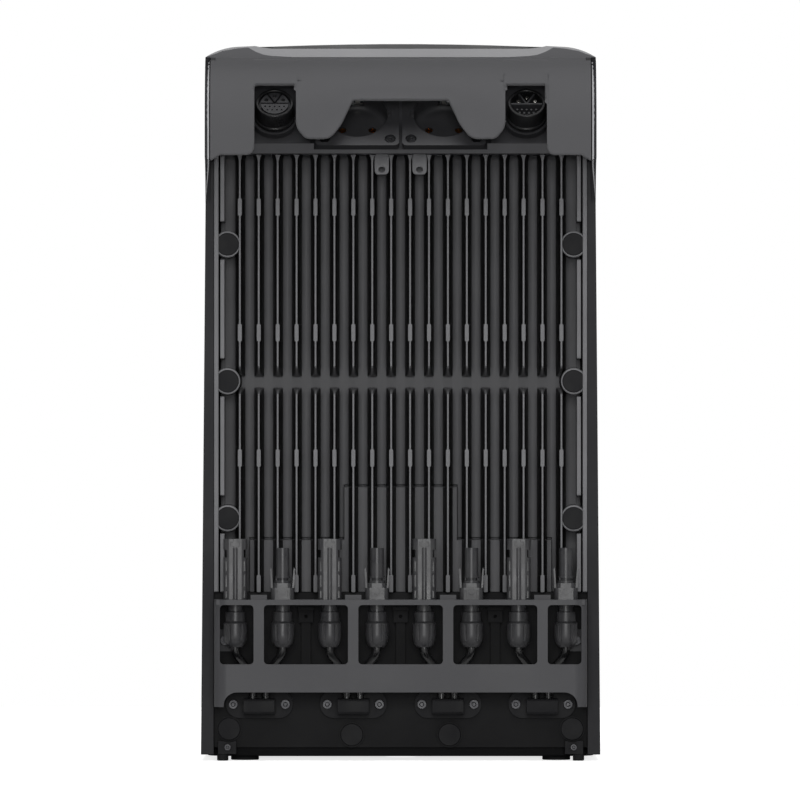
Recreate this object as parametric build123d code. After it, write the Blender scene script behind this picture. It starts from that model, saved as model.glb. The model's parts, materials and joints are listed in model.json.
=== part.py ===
from build123d import *
import math
import os

# A balcony solar storage tower with a built-in string inverter.  Millimetres, +Z up, the rear face
# (heat sink, connectors) looks along -Y, and the origin is the middle of the footprint on the floor.

# ---- driving dimensions -----------------------------------------------------------------------
HEIGHT = 460.0
HALF_TOP = 125.0            # half width of the case above the taper
HALF_BASE = 128.0           # half width of the case at its foot
TAPER_Z = 357.0
SHELL_LOW = 3.9
SHOULDER_Z = 450.6          # where the flat sides end and the crown starts
CORNER_RUN = 19.6
CORNER_RISE = 6.7
WALL = 3.0
FRONT_Y = 140.0
RIM_Y = -106.0              # rear rim, border strips and fin tips lie in this plane
HOOD_Y = -140.0
CAP_REAR_Y = -111.0         # the lid's rear face at the shoulders
CAP_LEAN_Y = -103.5         # and where it would reach above the crown
FRONT_CORNER_R = 30.0
RIM_HALF = 119.8            # inner edge of the rear rim

FLOOR_Y = -74.0             # root plane of the fins
SINK_BACK_Y = -68.0
SINK_LOW = 108.0
SINK_TOP = 388.2
FIN_PITCH = 12.12
FINS_PER_SIDE = 9
FIN_TIP = 1.4
FIN_ROOT = 6.3
PAD_WIDTH = 3.2
PAD_HEIGHT = 10.7
PAD_ZS = (354.7, 274.2, 193.9, 113.4)
STEP_Y = -85.0              # raised floors low on the heat sink
PLUG_R = 7.2
SIDE_PLUG_X = 110.9
SIDE_PLUG_ZS = (330.9, 243.1, 155.3)
PANEL_Y = -98.0
PANEL_THICK = 3.0
LOW_PLUGS = ((-110.0, 20.2), (-31.3, 16.5), (31.3, 16.5), (110.0, 20.2))
TAPPED_X = 12.1
TAPPED_Z = 378.9

TILT = math.radians(40.8)   # how far the connection deck's normal rises above the horizontal
DECK_Y = -109.0
DECK_Z = 411.16
DECK_HALF = 121.5
DECK_THICK = 2.5
DECK_LOW = 388.5            # underside of the deck
KERB_Y = -137.0
KERB_TOP = 394.9
KERB_DIP = 391.0            # top of the kerb below the mains outlets
TROUGH_Z = 390.2            # floor of the gutter behind the kerb

OUTLET_X = 27.7
OUTLET_SIDE = 53.4
OUTLET_THICK = 4.5
RECESS_R = 19.5
RECESS_DEEP = 15.2
CUP_WALL = 1.2
POLE_PITCH = 19.0

GRID_X = 80.5
GRID_V = -7.0               # place of the grid connectors along the deck's slope
GRID_R = 12.0
GRID_FACE_R = 10.1
GRID_TOP = 23.3             # how far the housings stand above the deck
INSERT_TOP = 22.7
GROOVE_TURNS = (0, 60, 120, 180)    # the grooves and ribs that part the islands

FLAP_THICK = 2.5
FLAP_HALF = 121.6
HINGE_Y = -113.0
HINGE_Z = 447.4

PV_XS = (-105.7, -75.5, -45.3, -15.1, 15.1, 45.3, 75.5, 105.7)
PV_Y = -120.0
PAIR_XS = (-90.6, -30.3, 30.3, 90.6)
SHELF_LOW = 100.2
SHELF_TOP = 103.5
NECK_R = 4.85
LEAD_R = 2.6
LEAD_SPREAD = 4.2
LEAD_END_Y = -109.0

GUARD_MID_X = 117.7
GUARD_MID_Y = -134.5
GUARD_THICK = 3.0
BAND_LOW = 44.4
BAND_TOP = 62.3
POST_WIDTH = 6.6

BLOCK_LOW = 29.8
BLOCK_TOP = 39.9

BUTTON_Z = 395.0
FOOT_X = 114.0


# ---- small helpers ----------------------------------------------------------------------------
def block(x_span, y_span, z_span):
    """A box between two values along each axis."""
    size = [high - low for low, high in (x_span, y_span, z_span)]
    middle = [(high + low) / 2 for low, high in (x_span, y_span, z_span)]
    return Pos(*middle) * Box(*size)


def post(radius, base, height):
    """An upright cylinder that stands on a point."""
    return Pos(*base) * Cylinder(radius, height, align=(Align.CENTER, Align.CENTER, Align.MIN))


def stud(radius, x, z, y_low, y_high):
    """A cylinder along Y between two values of Y."""
    seat = Plane(origin=(x, y_high, z), x_dir=(1, 0, 0), z_dir=(0, -1, 0))
    return seat * Cylinder(radius, y_high - y_low, align=(Align.CENTER, Align.CENTER, Align.MIN))


def on_deck(x, v, w):
    """A plane on the sloped deck: v runs up the slope and w is the height above the deck."""
    rise = (0, math.sin(TILT), math.cos(TILT))
    normal = (0, -math.cos(TILT), math.sin(TILT))
    origin = (x, DECK_Y + v * rise[1] + w * normal[1], DECK_Z + v * rise[2] + w * normal[2])
    return Plane(origin=origin, x_dir=(1, 0, 0), z_dir=normal)


def deck_post(radius, x, v, w_low, w_high):
    """A cylinder that stands square to the deck between two heights."""
    column = Cylinder(radius, w_high - w_low, align=(Align.CENTER, Align.CENTER, Align.MIN))
    return on_deck(x, v, w_low) * column


def deck_block(x_span, v_span, w_span):
    """A box square to the deck."""
    middle = [(high + low) / 2 for low, high in (x_span, v_span, w_span)]
    size = [high - low for low, high in (x_span, v_span, w_span)]
    return on_deck(*middle) * Box(*size)


def prism_x(points, x_span):
    """A closed outline given as (y, z), stretched along X."""
    face = Plane.YZ.offset(x_span[0]) * make_face(Polyline(*points, close=True))
    return extrude(face, amount=x_span[1] - x_span[0])


def group(pieces):
    """Separate solids kept together in one sub-part."""
    return Compound(children=[solid for piece in pieces for solid in piece.solids()])


# ---- case -------------------------------------------------------------------------------------
def crown_section(inset):
    """The case seen along Y: no limit at the sides, and a low crown above the shoulders."""
    side = HALF_TOP - inset
    shoulder = SHOULDER_Z - inset
    crown = HEIGHT - inset
    bend_x = side - CORNER_RUN
    bend_z = shoulder + CORNER_RISE
    low = SHELL_LOW if inset == 0 else -5.0
    wide = HALF_BASE + 20
    straight = Polyline((-side, shoulder), (-wide, shoulder), (-wide, low), (wide, low), (wide, shoulder),
                        (side, shoulder))
    right = ThreePointArc((side, shoulder), (side - 8.0, shoulder + 4.1), (bend_x, bend_z))
    top = ThreePointArc((bend_x, bend_z), (0, crown), (-bend_x, bend_z))
    left = ThreePointArc((-bend_x, bend_z), (8.0 - side, shoulder + 4.1), (-side, shoulder))
    return make_face(straight + right + top + left)


def plan_face(half, inset, z):
    """The case seen from above at one height: square at the rear, rounded at the front."""
    outline = Polyline((inset - half, HOOD_Y - 20), (half - inset, HOOD_Y - 20), (half - inset, FRONT_Y - inset),
                       (inset - half, FRONT_Y - inset), close=True)
    face = make_face(outline)
    face = fillet(face.vertices().group_by(Axis.Y)[-1], FRONT_CORNER_R - inset)
    return Pos(0, 0, z) * face


def case_side(inset, open_rear):
    """The case seen along X: the rear rim, the hood's overhang and the rounded front edges."""
    front = FRONT_Y - inset
    low = SHELL_LOW - 2.0
    top = HEIGHT + 5.0
    if open_rear:
        outline = Polyline((front, low), (HOOD_Y - 10, low), (HOOD_Y - 10, top), (front, top), close=True)
        return make_face(outline)
    rear = Polyline((front, low), (RIM_Y, low), (RIM_Y, TAPER_Z))
    sweep = ThreePointArc((RIM_Y, TAPER_Z), (RIM_Y - 9, TAPER_Z + 17), (HOOD_Y + 0.5, 385.0))
    upright = Line((HOOD_Y + 0.5, 385.0), (HOOD_Y + 0.5, 405.0))
    lean = ThreePointArc((HOOD_Y + 0.5, 405.0), (-132.5, 431.0), (CAP_REAR_Y, SHOULDER_Z))
    closing = Polyline((CAP_REAR_Y, SHOULDER_Z), (CAP_LEAN_Y, top), (front, top), (front, low))
    return make_face(rear + sweep + upright + lean + closing)


def case_blank(inset, open_rear=False):
    """The whole case as one lump, or its inner space when the inset is the wall thickness."""
    along_y = extrude(Plane.XZ.offset(-FRONT_Y) * crown_section(inset), amount=2 * FRONT_Y + 20)
    along_x = extrude(Plane.YZ.offset(-HALF_BASE - 5) * case_side(inset, open_rear), amount=2 * HALF_BASE + 10)
    tapered = loft([plan_face(HALF_BASE, inset, 0), plan_face(HALF_TOP, inset, TAPER_Z)])
    upright = extrude(plan_face(HALF_TOP, inset, TAPER_Z), amount=HEIGHT + 1 - TAPER_Z)
    return (tapered + upright) & along_y & along_x


def make_outer_shell(blank, inside):
    """The wrap: both sides with the hood's cheeks, the front, and the flat rim round the rear."""
    wrap = (blank - inside) & block((-140, 140), (-150, 150), (0, SHOULDER_Z))
    wrap -= block((WALL - HALF_TOP, HALF_TOP - WALL), (-150, 100), (440.0, SHOULDER_Z + 1))
    rim = inside & block((-140, 140), (RIM_Y, RIM_Y + 3), (SHELL_LOW, 384.0))
    rim -= block((-RIM_HALF, RIM_HALF), (-150, 0), (0, HEIGHT))
    shell = wrap + rim
    shell -= stud(9.3, 0, BUTTON_Z, FRONT_Y - 10, FRONT_Y + 10)
    shell -= block((-35, 35), (FRONT_Y - 10, FRONT_Y + 10), (368.5, 373.5))
    return shell


def make_top_cap(blank, inside):
    """The crowned lid with a grip recess behind its lowered rear lip."""
    above = block((-140, 140), (-150, 150), (SHOULDER_Z, HEIGHT + 1))
    cap = (blank & above) - inside
    rear_wall = blank & block((-119, 119), (CAP_REAR_Y, CAP_REAR_Y + 11.0), (SHOULDER_Z, HEIGHT))
    tub = block((-95, 95), (-107, -72), (438.0, 456.6))
    cap = cap + rear_wall + tub
    recess = block((-92, 92), (-104.5, -74), (440.0, HEIGHT + 5))
    recess = fillet(recess.edges().filter_by(Axis.Z), 12)
    return cap - recess - grip_dip()


def grip_dip():
    """What lowers the lid's rear lip: a flat cut whose ends sweep up to the crown."""
    flat, end, low, high = 76.0, 99.0, 456.1, HEIGHT + 5
    sweep = ThreePointArc((flat, low), (88.5, 456.9), (end, 459.6))
    outline = Polyline((end, 459.6), (end, high), (-end, high), (-end, 459.6))
    other = ThreePointArc((-end, 459.6), (-88.5, 456.9), (-flat, low))
    profile = make_face(sweep + outline + other + Line((-flat, low), (flat, low)))
    return extrude(Plane.XZ.offset(90) * profile, amount=30)


def make_bottom_tray():
    """The floor of the case: a plate with an upstand all round, inside the wrap."""
    middle_y = 20.5
    outline = RectangleRounded(2 * 124.2, 2 * 115.0, 24)
    hollow = RectangleRounded(2 * 121.2, 2 * 112.0, 21)
    plate = extrude(Pos(0, middle_y, 2.6) * outline, amount=9.4)
    return plate - extrude(Pos(0, middle_y, 6.0) * hollow, amount=10.0)


# ---- heat sink and lower panel ----------------------------------------------------------------
def comb(tip_width):
    """The heat sink's section across X and Y: a base with a row of tapered fins."""
    points = [(-RIM_HALF + 0.2, SINK_BACK_Y), (-RIM_HALF + 0.2, RIM_Y), (-112.8, RIM_Y), (-112.8, FLOOR_Y)]
    for index in range(-FINS_PER_SIDE, FINS_PER_SIDE):
        middle = (index + 0.5) * FIN_PITCH
        points += [(middle - FIN_ROOT / 2, FLOOR_Y), (middle - tip_width / 2, RIM_Y),
                   (middle + tip_width / 2, RIM_Y), (middle + FIN_ROOT / 2, FLOOR_Y)]
    points += [(112.8, FLOOR_Y), (112.8, RIM_Y), (RIM_HALF - 0.2, RIM_Y), (RIM_HALF - 0.2, SINK_BACK_Y)]
    return make_face(Polyline(*points, close=True))


def comb_run(tip_width, low, high):
    """A stretch of the comb between two heights."""
    return extrude(Plane.XY.offset(low) * comb(tip_width), amount=high - low)


def make_heat_sink():
    """The die-cast heat sink: fins, ejector pads, raised floors, bosses and two tapped pads."""
    sink = comb_run(FIN_TIP, SINK_LOW, SINK_TOP)
    for pad_z in PAD_ZS:
        sink += comb_run(PAD_WIDTH, pad_z - PAD_HEIGHT / 2, pad_z + PAD_HEIGHT / 2)
    gap = [(FLOOR_Y, 238.8), (RIM_Y - 1, 235.3), (RIM_Y - 1, 252.2), (FLOOR_Y, 246.0)]
    sink -= prism_x(gap, (-112.8, 112.8))
    top_slope = [(FLOOR_Y - 7, SINK_TOP + 1), (FLOOR_Y, SINK_TOP - 30), (FLOOR_Y + 1, SINK_TOP + 1)]
    sink += prism_x(top_slope, (-113, 113)) & block((-113, 113), (-110, -70), (300, SINK_TOP))
    sink += block((-40.3, 40.3), (STEP_Y, FLOOR_Y + 1), (SINK_LOW, 175.1))
    sink += block((-98, 98), (STEP_Y, FLOOR_Y + 1), (SINK_LOW, 141.2))
    for side in (-1, 1):
        groove = sorted((side * 115.5, side * 116.5))
        sink -= block(groove, (RIM_Y - 1, RIM_Y + 12), (SINK_LOW - 1, SINK_TOP + 1))
        for plug_z in SIDE_PLUG_ZS:
            x = side * SIDE_PLUG_X
            span = sorted((x - side * 9.5, side * 115.5))
            sink -= block(span, (RIM_Y - 1, FLOOR_Y), (plug_z - 10, plug_z + 14))
            sink += stud(PLUG_R + 1.3, x, plug_z, RIM_Y + 1, FLOOR_Y + 1)
            sink -= stud(PLUG_R + 0.15, x, plug_z, RIM_Y, RIM_Y + 3)
            sink -= stud(2.0, x, plug_z, RIM_Y, RIM_Y + 20)
        pad = block((side * TAPPED_X - 4.7, side * TAPPED_X + 4.7), (RIM_Y, FLOOR_Y + 1), (375.1, SINK_TOP))
        sink += pad
        sink -= stud(1.7, side * TAPPED_X, TAPPED_Z, RIM_Y - 1, RIM_Y + 12)
    return sink


def make_connection_plate():
    """The flat lower panel, with bosses for its screw plugs and three lugs with ribs."""
    plate = block((-RIM_HALF + 0.2, RIM_HALF - 0.2), (PANEL_Y, PANEL_Y + PANEL_THICK), (8.4, SINK_LOW - 0.3))
    plate += block((-116, 116), (PANEL_Y + PANEL_THICK, SINK_BACK_Y), (SINK_LOW - 4.3, SINK_LOW - 0.3))
    for x, z in LOW_PLUGS:
        plate += stud(PLUG_R + 1.0, x, z, PANEL_Y - 2.5, PANEL_Y)
        plate -= stud(PLUG_R + 0.15, x, z, PANEL_Y - 3, PANEL_Y - 0.5)
        plate -= stud(1.9, x, z, PANEL_Y - 1, PANEL_Y + 5)
    for x in (-60.6, 0.0, 60.6):
        plate += block((x - 5.1, x + 5.1), (-112, PANEL_Y), (96.4, 98.6))
        plate += block((x - 4.6, x + 4.6), (-108, PANEL_Y), (88.6, 96.4))
        plate += block((x - 2.9, x + 2.9), (-105, PANEL_Y), (56.0, 88.6))
        plate -= stud(1.1, x, 92.5, -109, -99)
    for x in PAIR_XS:
        plate -= block((x - 8, x + 8), (PANEL_Y - 1, PANEL_Y + 5), (31.5, 38.5))
        for screw_x in (x - 16.7, x + 16.7):
            plate -= stud(1.3, screw_x, 36.0, PANEL_Y - 1, PANEL_Y + 5)
    return plate


def make_screw_plugs():
    """The ten round plugs that hide the case screws."""
    plugs = []
    for side in (-1, 1):
        for plug_z in SIDE_PLUG_ZS:
            plugs.append(stud(PLUG_R, side * SIDE_PLUG_X, plug_z, RIM_Y + 1.2, RIM_Y + 3.0))
    for x, z in LOW_PLUGS:
        plugs.append(stud(PLUG_R, x, z, PANEL_Y - 2.4, PANEL_Y - 0.5))
    return group(plugs)


def make_case_gasket():
    """The flat seal between the heat sink's back and the inner chassis."""
    ring = block((-117, 117), (SINK_BACK_Y, SINK_BACK_Y + 1.6), (112, 383))
    return ring - block((-113, 113), (-80, -50), (116, 379))


# ---- connection deck --------------------------------------------------------------------------
def deck_line(depth, z):
    """Where the deck's surface, sunk by a depth, crosses a height: the Y of that point."""
    v = (z - DECK_Z + depth * math.sin(TILT)) / math.cos(TILT)
    return DECK_Y + v * math.sin(TILT) + depth * math.cos(TILT)


def make_socket_deck():
    """The sloped deck with its kerb, floor, ends and the openings for the connectors."""
    inner_low, inner_top, outer_top, back = DECK_LOW + 1.5, 433.0, 437.3, -80.0
    outer = [(KERB_Y, DECK_LOW), (KERB_Y, KERB_TOP), (KERB_Y + 2.6, KERB_TOP), (KERB_Y + 2.6, TROUGH_Z),
             (deck_line(0, TROUGH_Z), TROUGH_Z), (deck_line(0, outer_top), outer_top), (back, outer_top),
             (back, DECK_LOW)]
    inner = [(deck_line(DECK_THICK, inner_low), inner_low), (deck_line(DECK_THICK, inner_top), inner_top),
             (back + 1, inner_top), (back + 1, inner_low)]
    deck = prism_x(outer, (-DECK_HALF, DECK_HALF)) - prism_x(inner, (-DECK_HALF + 3, DECK_HALF - 3))
    deck -= block((-55.4, 55.4), (KERB_Y - 1, KERB_Y + 3), (KERB_DIP, KERB_TOP + 1))
    for side in (-1, 1):
        deck -= deck_post(RECESS_R + CUP_WALL + 0.3, side * OUTLET_X, 0, -4, 1)
        deck -= deck_post(GRID_R - 1.9, side * GRID_X, GRID_V, -4, 1)
        for x, v in outlet_screw_places(side):
            deck -= deck_post(1.3, x, v, -4, 1)
        ear = block(sorted((side * 118.5, side * DECK_HALF)), (-117, -109), (434.0, 450.2))
        ear += block(sorted((side * 118.5, side * DECK_HALF)), (-110, -90), (430.0, 438.0))
        deck += ear - hinge_rod(1.35)
    return deck


def outlet_screw_places(side):
    """The four screws of one mains outlet, on the deck."""
    reach = 21.0
    return [(side * OUTLET_X + dx, dv) for dx in (-reach, reach) for dv in (-reach, reach)]


def make_outlet(side):
    """One type-F mains outlet: a square plate over a round cup, with contact holes in its floor."""
    x = side * OUTLET_X
    plate = deck_block((x - OUTLET_SIDE / 2, x + OUTLET_SIDE / 2), (-OUTLET_SIDE / 2, OUTLET_SIDE / 2),
                       (0, OUTLET_THICK))
    seat = on_deck(x, 0, 0)
    upward = Axis(origin=seat.origin, direction=seat.z_dir)
    corners = plate.edges().filter_by(upward)
    plate = fillet(corners, 3)
    floor_w = OUTLET_THICK - RECESS_DEEP
    cup = deck_post(RECESS_R + CUP_WALL, x, 0, floor_w - CUP_WALL, 0.5)
    cup = fillet(cup.edges().sort_by(upward)[0], 6.0)
    recess = deck_post(RECESS_R, x, 0, floor_w, OUTLET_THICK + 1)
    recess = fillet(recess.edges().sort_by(upward)[0], 4.2)
    body = plate + cup - recess
    for pole in (-POLE_PITCH / 2, POLE_PITCH / 2):
        body -= deck_post(2.5, x + pole, 0, floor_w - 3, floor_w + 1)
    for end in (-1, 1):
        body -= deck_block((x - 4, x + 4), sorted((end * 18.5, end * 22.2)), (-8.5, OUTLET_THICK - 1.6))
        body -= deck_block(sorted((x + end * 18.0, x + end * 21.6)), (-3.2, 3.2), (0.5, OUTLET_THICK + 1))
    for screw_x, v in outlet_screw_places(side):
        body -= deck_post(3.6, screw_x, v, 2.0, OUTLET_THICK + 1)
        body -= deck_post(1.55, screw_x, v, -1, 3)
    return body


def make_outlet_earth_clips():
    """The four sprung earth clips, at the top and bottom of both recesses."""
    clips = []
    for side in (-1, 1):
        for end in (-1, 1):
            x = side * OUTLET_X
            thick = sorted((end * 19.7, end * 20.6))
            tongue = deck_block((x - 1.4, x + 1.4), thick, (-8.2, 2.6))
            clips.append(tongue + deck_block((x - 3.2, x + 3.2), thick, (-3.0, -1.2)))
    return group(clips)


def make_outlet_contacts():
    """The four contact sleeves behind the floors of the recesses."""
    back = OUTLET_THICK - RECESS_DEEP - CUP_WALL
    sleeves = []
    for side in (-1, 1):
        for pole in (-POLE_PITCH / 2, POLE_PITCH / 2):
            x = side * OUTLET_X + pole
            sleeves.append(deck_post(3.4, x, 0, back - 9, back - 0.1) - deck_post(2.4, x, 0, back - 8, back))
    return group(sleeves)


def make_outlet_screws():
    """Eight pan-head screws that hold the outlets to the deck."""
    screws = []
    for side in (-1, 1):
        for x, v in outlet_screw_places(side):
            head = deck_post(2.9, x, v, 2.0, 3.9) - deck_post(1.2, x, v, 3.0, 4.5)
            screws.append(head + deck_post(1.25, x, v, -5.8, 2.5))
    return group(screws)


def make_grid_housing(side):
    """A round connector housing: a thick tube through the deck with an open face."""
    x = side * GRID_X
    tube = deck_post(GRID_R, x, GRID_V, 4.6, GRID_TOP) + deck_post(GRID_R - 2.0, x, GRID_V, -11.5, 5)
    tube += deck_post(GRID_R + 0.9, x, GRID_V, 9.1, 12.0)
    return tube - deck_post(GRID_FACE_R, x, GRID_V, 11.3, GRID_TOP + 1)


def make_grid_collars():
    """A base plate and raised collar under each round connector."""
    collars = []
    for side in (-1, 1):
        x_span = sorted((side * 57.7, side * 95.0))
        plate = deck_block(x_span, (-24.8, 22.0), (0, OUTLET_THICK))
        collar = plate + deck_post(14.3, side * GRID_X, GRID_V, 4, 9.0)
        collars.append(collar - deck_post(GRID_R + 0.05, side * GRID_X, GRID_V, 4.55, 10)
                       - deck_post(GRID_R - 1.95, side * GRID_X, GRID_V, -1, 5))
    return group(collars)


def pin_places():
    """The three power contacts of a round connector, above its middle line."""
    return [(0.0, 6.0), (-5.3, 2.8), (5.3, 2.8)]


def signal_places():
    """The nine signal contacts in the lower half of a round connector."""
    upper = [(3.0 * step, -2.7) for step in range(-2, 3)]
    lower = [(3.0 * step + 1.5, -5.6) for step in range(-2, 2)]
    return upper + lower


def make_grid_insert_female():
    """The outgoing connector's insert: three islands with power sockets over a half disc of signal sockets."""
    x = -GRID_X
    insert = deck_post(GRID_FACE_R - 0.05, x, GRID_V, 11.3, INSERT_TOP)
    insert -= deck_post(GRID_FACE_R, x, GRID_V, INSERT_TOP - 2.6, INSERT_TOP + 1) - deck_post(
        GRID_FACE_R - 1.2, x, GRID_V, INSERT_TOP - 3, INSERT_TOP + 2)
    for turn in GROOVE_TURNS:
        groove = Box(GRID_FACE_R, 1.2, 2.6, align=(Align.MIN, Align.CENTER, Align.MAX))
        insert -= on_deck(x, GRID_V, INSERT_TOP + 0.01) * (Rot(0, 0, turn) * groove)
    for dx, dv in pin_places():
        insert -= deck_post(1.4, x + dx, GRID_V + dv, 12.0, 24)
    for dx, dv in signal_places():
        insert -= deck_post(0.6, x + dx, GRID_V + dv, INSERT_TOP - 3.0, 24)
    return insert


def make_grid_insert_male():
    """The incoming connector's insert: a floor with ribs between its three power pins."""
    x = GRID_X
    insert = deck_post(GRID_FACE_R - 0.05, x, GRID_V, 11.3, 15.8)
    for turn in GROOVE_TURNS:
        rib = Box(GRID_FACE_R - 0.2, 1.0, INSERT_TOP - 16.2, align=(Align.MIN, Align.CENTER, Align.MIN))
        insert += on_deck(x, GRID_V, 15.7) * (Rot(0, 0, turn) * rib)
    for dx, dv in pin_places():
        insert -= deck_post(1.3, x + dx, GRID_V + dv, 11, 16)
    for dx, dv in signal_places():
        insert += deck_post(0.65, x + dx, GRID_V + dv, 15.7, INSERT_TOP - 3.0)
    return insert


def make_grid_contacts():
    """Three pins in the male connector and three sleeves in the female one."""
    contacts = []
    for dx, dv in pin_places():
        contacts.append(deck_post(1.3, GRID_X + dx, GRID_V + dv, 11.3, INSERT_TOP - 1.2))
        sleeve = deck_post(1.4, -GRID_X + dx, GRID_V + dv, 12.0, 20.0)
        contacts.append(sleeve - deck_post(0.9, -GRID_X + dx, GRID_V + dv, 13.0, 21))
    return group(contacts)


# ---- rain flap --------------------------------------------------------------------------------
def flap_path(offset):
    """The flap's profile along Y and Z, moved inwards by an offset."""
    lower_y = HOOD_Y + offset
    bend = ThreePointArc((lower_y, 404.0), (-133.2 + offset * 0.9, 429.0 - offset * 0.5),
                         (HINGE_Y - 1.7 + offset * 0.7, HINGE_Z + 1.6 - offset * 0.7))
    return Line((lower_y, 384.7), (lower_y, 404.0)) + bend


def make_rain_flap():
    """The soft hood: a curved skin with openings for the connectors, on a bead round its hinge rod."""
    outer = flap_path(0)
    inner = flap_path(FLAP_THICK)
    ends = Line(outer @ 0, inner @ 0) + Line(outer @ 1, inner @ 1)
    skin = extrude(Plane.YZ.offset(-FLAP_HALF) * make_face(outer + inner + ends), amount=2 * FLAP_HALF)
    bead = Plane.YZ.offset(-FLAP_HALF) * (Pos(HINGE_Y, HINGE_Z) * Circle(3.0))
    flap = skin + extrude(bead, amount=2 * FLAP_HALF)
    for side in (-1, 1):
        notch = block(sorted((side * 118.2, side * 130)), (-118, -100), (438, 455))
        flap -= notch
    flap -= hinge_rod(1.6)
    return flap - flap_window()


def flap_window():
    """What is cut from the flap: the edge line with two high pockets and the outlets' opening."""
    half = [(0, 423.7), (31.0, 423.7), (38.2, 407.7), (43.9, 398.8), (60.6, 398.8), (65.7, 407.0), (65.7, 433.6),
            (94.5, 433.6), (94.5, 388.5), (116.9, 388.5), (123.0, 384.0), (123.0, 370.0), (0, 370.0)]
    right = Plane.XZ.offset(90) * make_face(Polyline(*half, close=True))
    cut = extrude(right, amount=70)
    rounded = [edge for edge in cut.edges().filter_by(Axis.Y)
               if 30 < edge.center().X < 100 and edge.center().Z > 395]
    cut = fillet(rounded, 2.5)
    return cut + mirror(cut, about=Plane.YZ)


def hinge_rod(radius):
    """A straight rod along the flap's hinge line."""
    line = Plane(origin=(-DECK_HALF + 0.2, HINGE_Y, HINGE_Z), x_dir=(0, 1, 0), z_dir=(1, 0, 0))
    return line * Cylinder(radius, 2 * (DECK_HALF - 0.2), align=(Align.CENTER, Align.CENTER, Align.MIN))


# ---- connector guard --------------------------------------------------------------------------
def make_guard_bracket():
    """The bent guard: a U-shaped strip cut into a band, posts and a shelf that holds the connectors."""
    path = FilletPolyline((-GUARD_MID_X, PANEL_Y - 0.1), (-GUARD_MID_X, GUARD_MID_Y), (GUARD_MID_X, GUARD_MID_Y),
                          (GUARD_MID_X, PANEL_Y - 0.1), radius=7)
    strip = extrude(Plane.XY.offset(35.0) * trace(path, line_width=GUARD_THICK), amount=SHELF_TOP - 35.0)
    edges = (-GUARD_MID_X + 2.2,) + PAIR_XS + (GUARD_MID_X - 2.2,)
    for left, right in zip(edges[:-1], edges[1:]):
        x_low = left + (POST_WIDTH / 2 if left in PAIR_XS else 0)
        x_high = right - (POST_WIDTH / 2 if right in PAIR_XS else 0)
        window = block((x_low, x_high), (-145, -126), (BAND_TOP, SHELF_LOW))
        strip -= fillet(window.edges().filter_by(Axis.Y), 2.5)
    arch = block((-113, 113), (-145, -126), (20, BAND_LOW))
    strip -= fillet(arch.edges().filter_by(Axis.Y).group_by(Axis.Z)[-1], 8.5)
    for side in (-1, 1):
        strip -= block(sorted((side * 110, side * 125)), (-128.0, PANEL_Y - 12), (BAND_TOP + 8, SHELF_LOW - 8))
        strip += block(sorted((side * 108.5, side * 118)), (PANEL_Y - 3, PANEL_Y - 0.1), (70.0, 84.0))
        strip -= stud(2.1, side * 112.4, 77.0, PANEL_Y - 4, PANEL_Y + 1)
    shelf = block((-GUARD_MID_X, GUARD_MID_X), (GUARD_MID_Y, RIM_Y - 0.6), (SHELF_LOW, SHELF_TOP))
    for x in PV_XS:
        shelf -= post(NECK_R + 0.3, (x, PV_Y, SHELF_LOW - 1), 6)
    bracket = strip + shelf
    for x in PAIR_XS:
        bracket += block((x - 5.2, x + 5.2), (-131, -127), (SHELF_TOP, 106.6))
    return bracket


def make_guard_screws():
    """The two screws that hold the guard's feet to the lower panel."""
    screws = []
    for side in (-1, 1):
        head = stud(3.4, side * 112.4, 77.0, PANEL_Y - 5.2, PANEL_Y - 3)
        screws.append(head + stud(2.0, side * 112.4, 77.0, PANEL_Y - 3.2, PANEL_Y))
    return group(screws)


# ---- solar connectors -------------------------------------------------------------------------
def make_pv_socket(x):
    """A female solar connector: a notched, slotted body with a bore open at its top."""
    body = Pos(x, PV_Y, SHELF_TOP) * extrude(RectangleRounded(15.2, 13.0, 4.0), amount=142.3 - SHELF_TOP)
    for side in (-1, 1):
        body -= block(sorted((x + side * 5.4, x + side * 8)), (PV_Y - 8, PV_Y + 8), (130.4, 135.4))
        for low, high in ((104.6, 109.4), (111.6, 119.6), (121.6, 128.2)):
            slot = sorted((x + side * 5.2, x + side * 6.3))
            body -= block(slot, (PV_Y - 8, PV_Y - 3.5), (low, high))
            body -= block(slot, (PV_Y + 3.5, PV_Y + 8), (low, high))
    for side in (-1, 1):
        face_y = PV_Y + side * 6.5
        ridge = post(2.2, (x, face_y - side * 1.6, SHELF_TOP), 33.0)
        body += ridge
        body -= block((x - 3.0, x + 3.0), (face_y - 1.0, face_y + 1.0), (137.6, 140.4))
        body -= block((x - 1.2, x + 1.2), (face_y - 1.0, face_y + 1.0), (136.8, 143))
    body += post(NECK_R, (x, PV_Y, 95.8), SHELF_TOP - 95.8)
    body -= post(4.6, (x, PV_Y, 112.0), 40)
    return body - post(2.7, (x, PV_Y, 80.0), 60)


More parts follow.
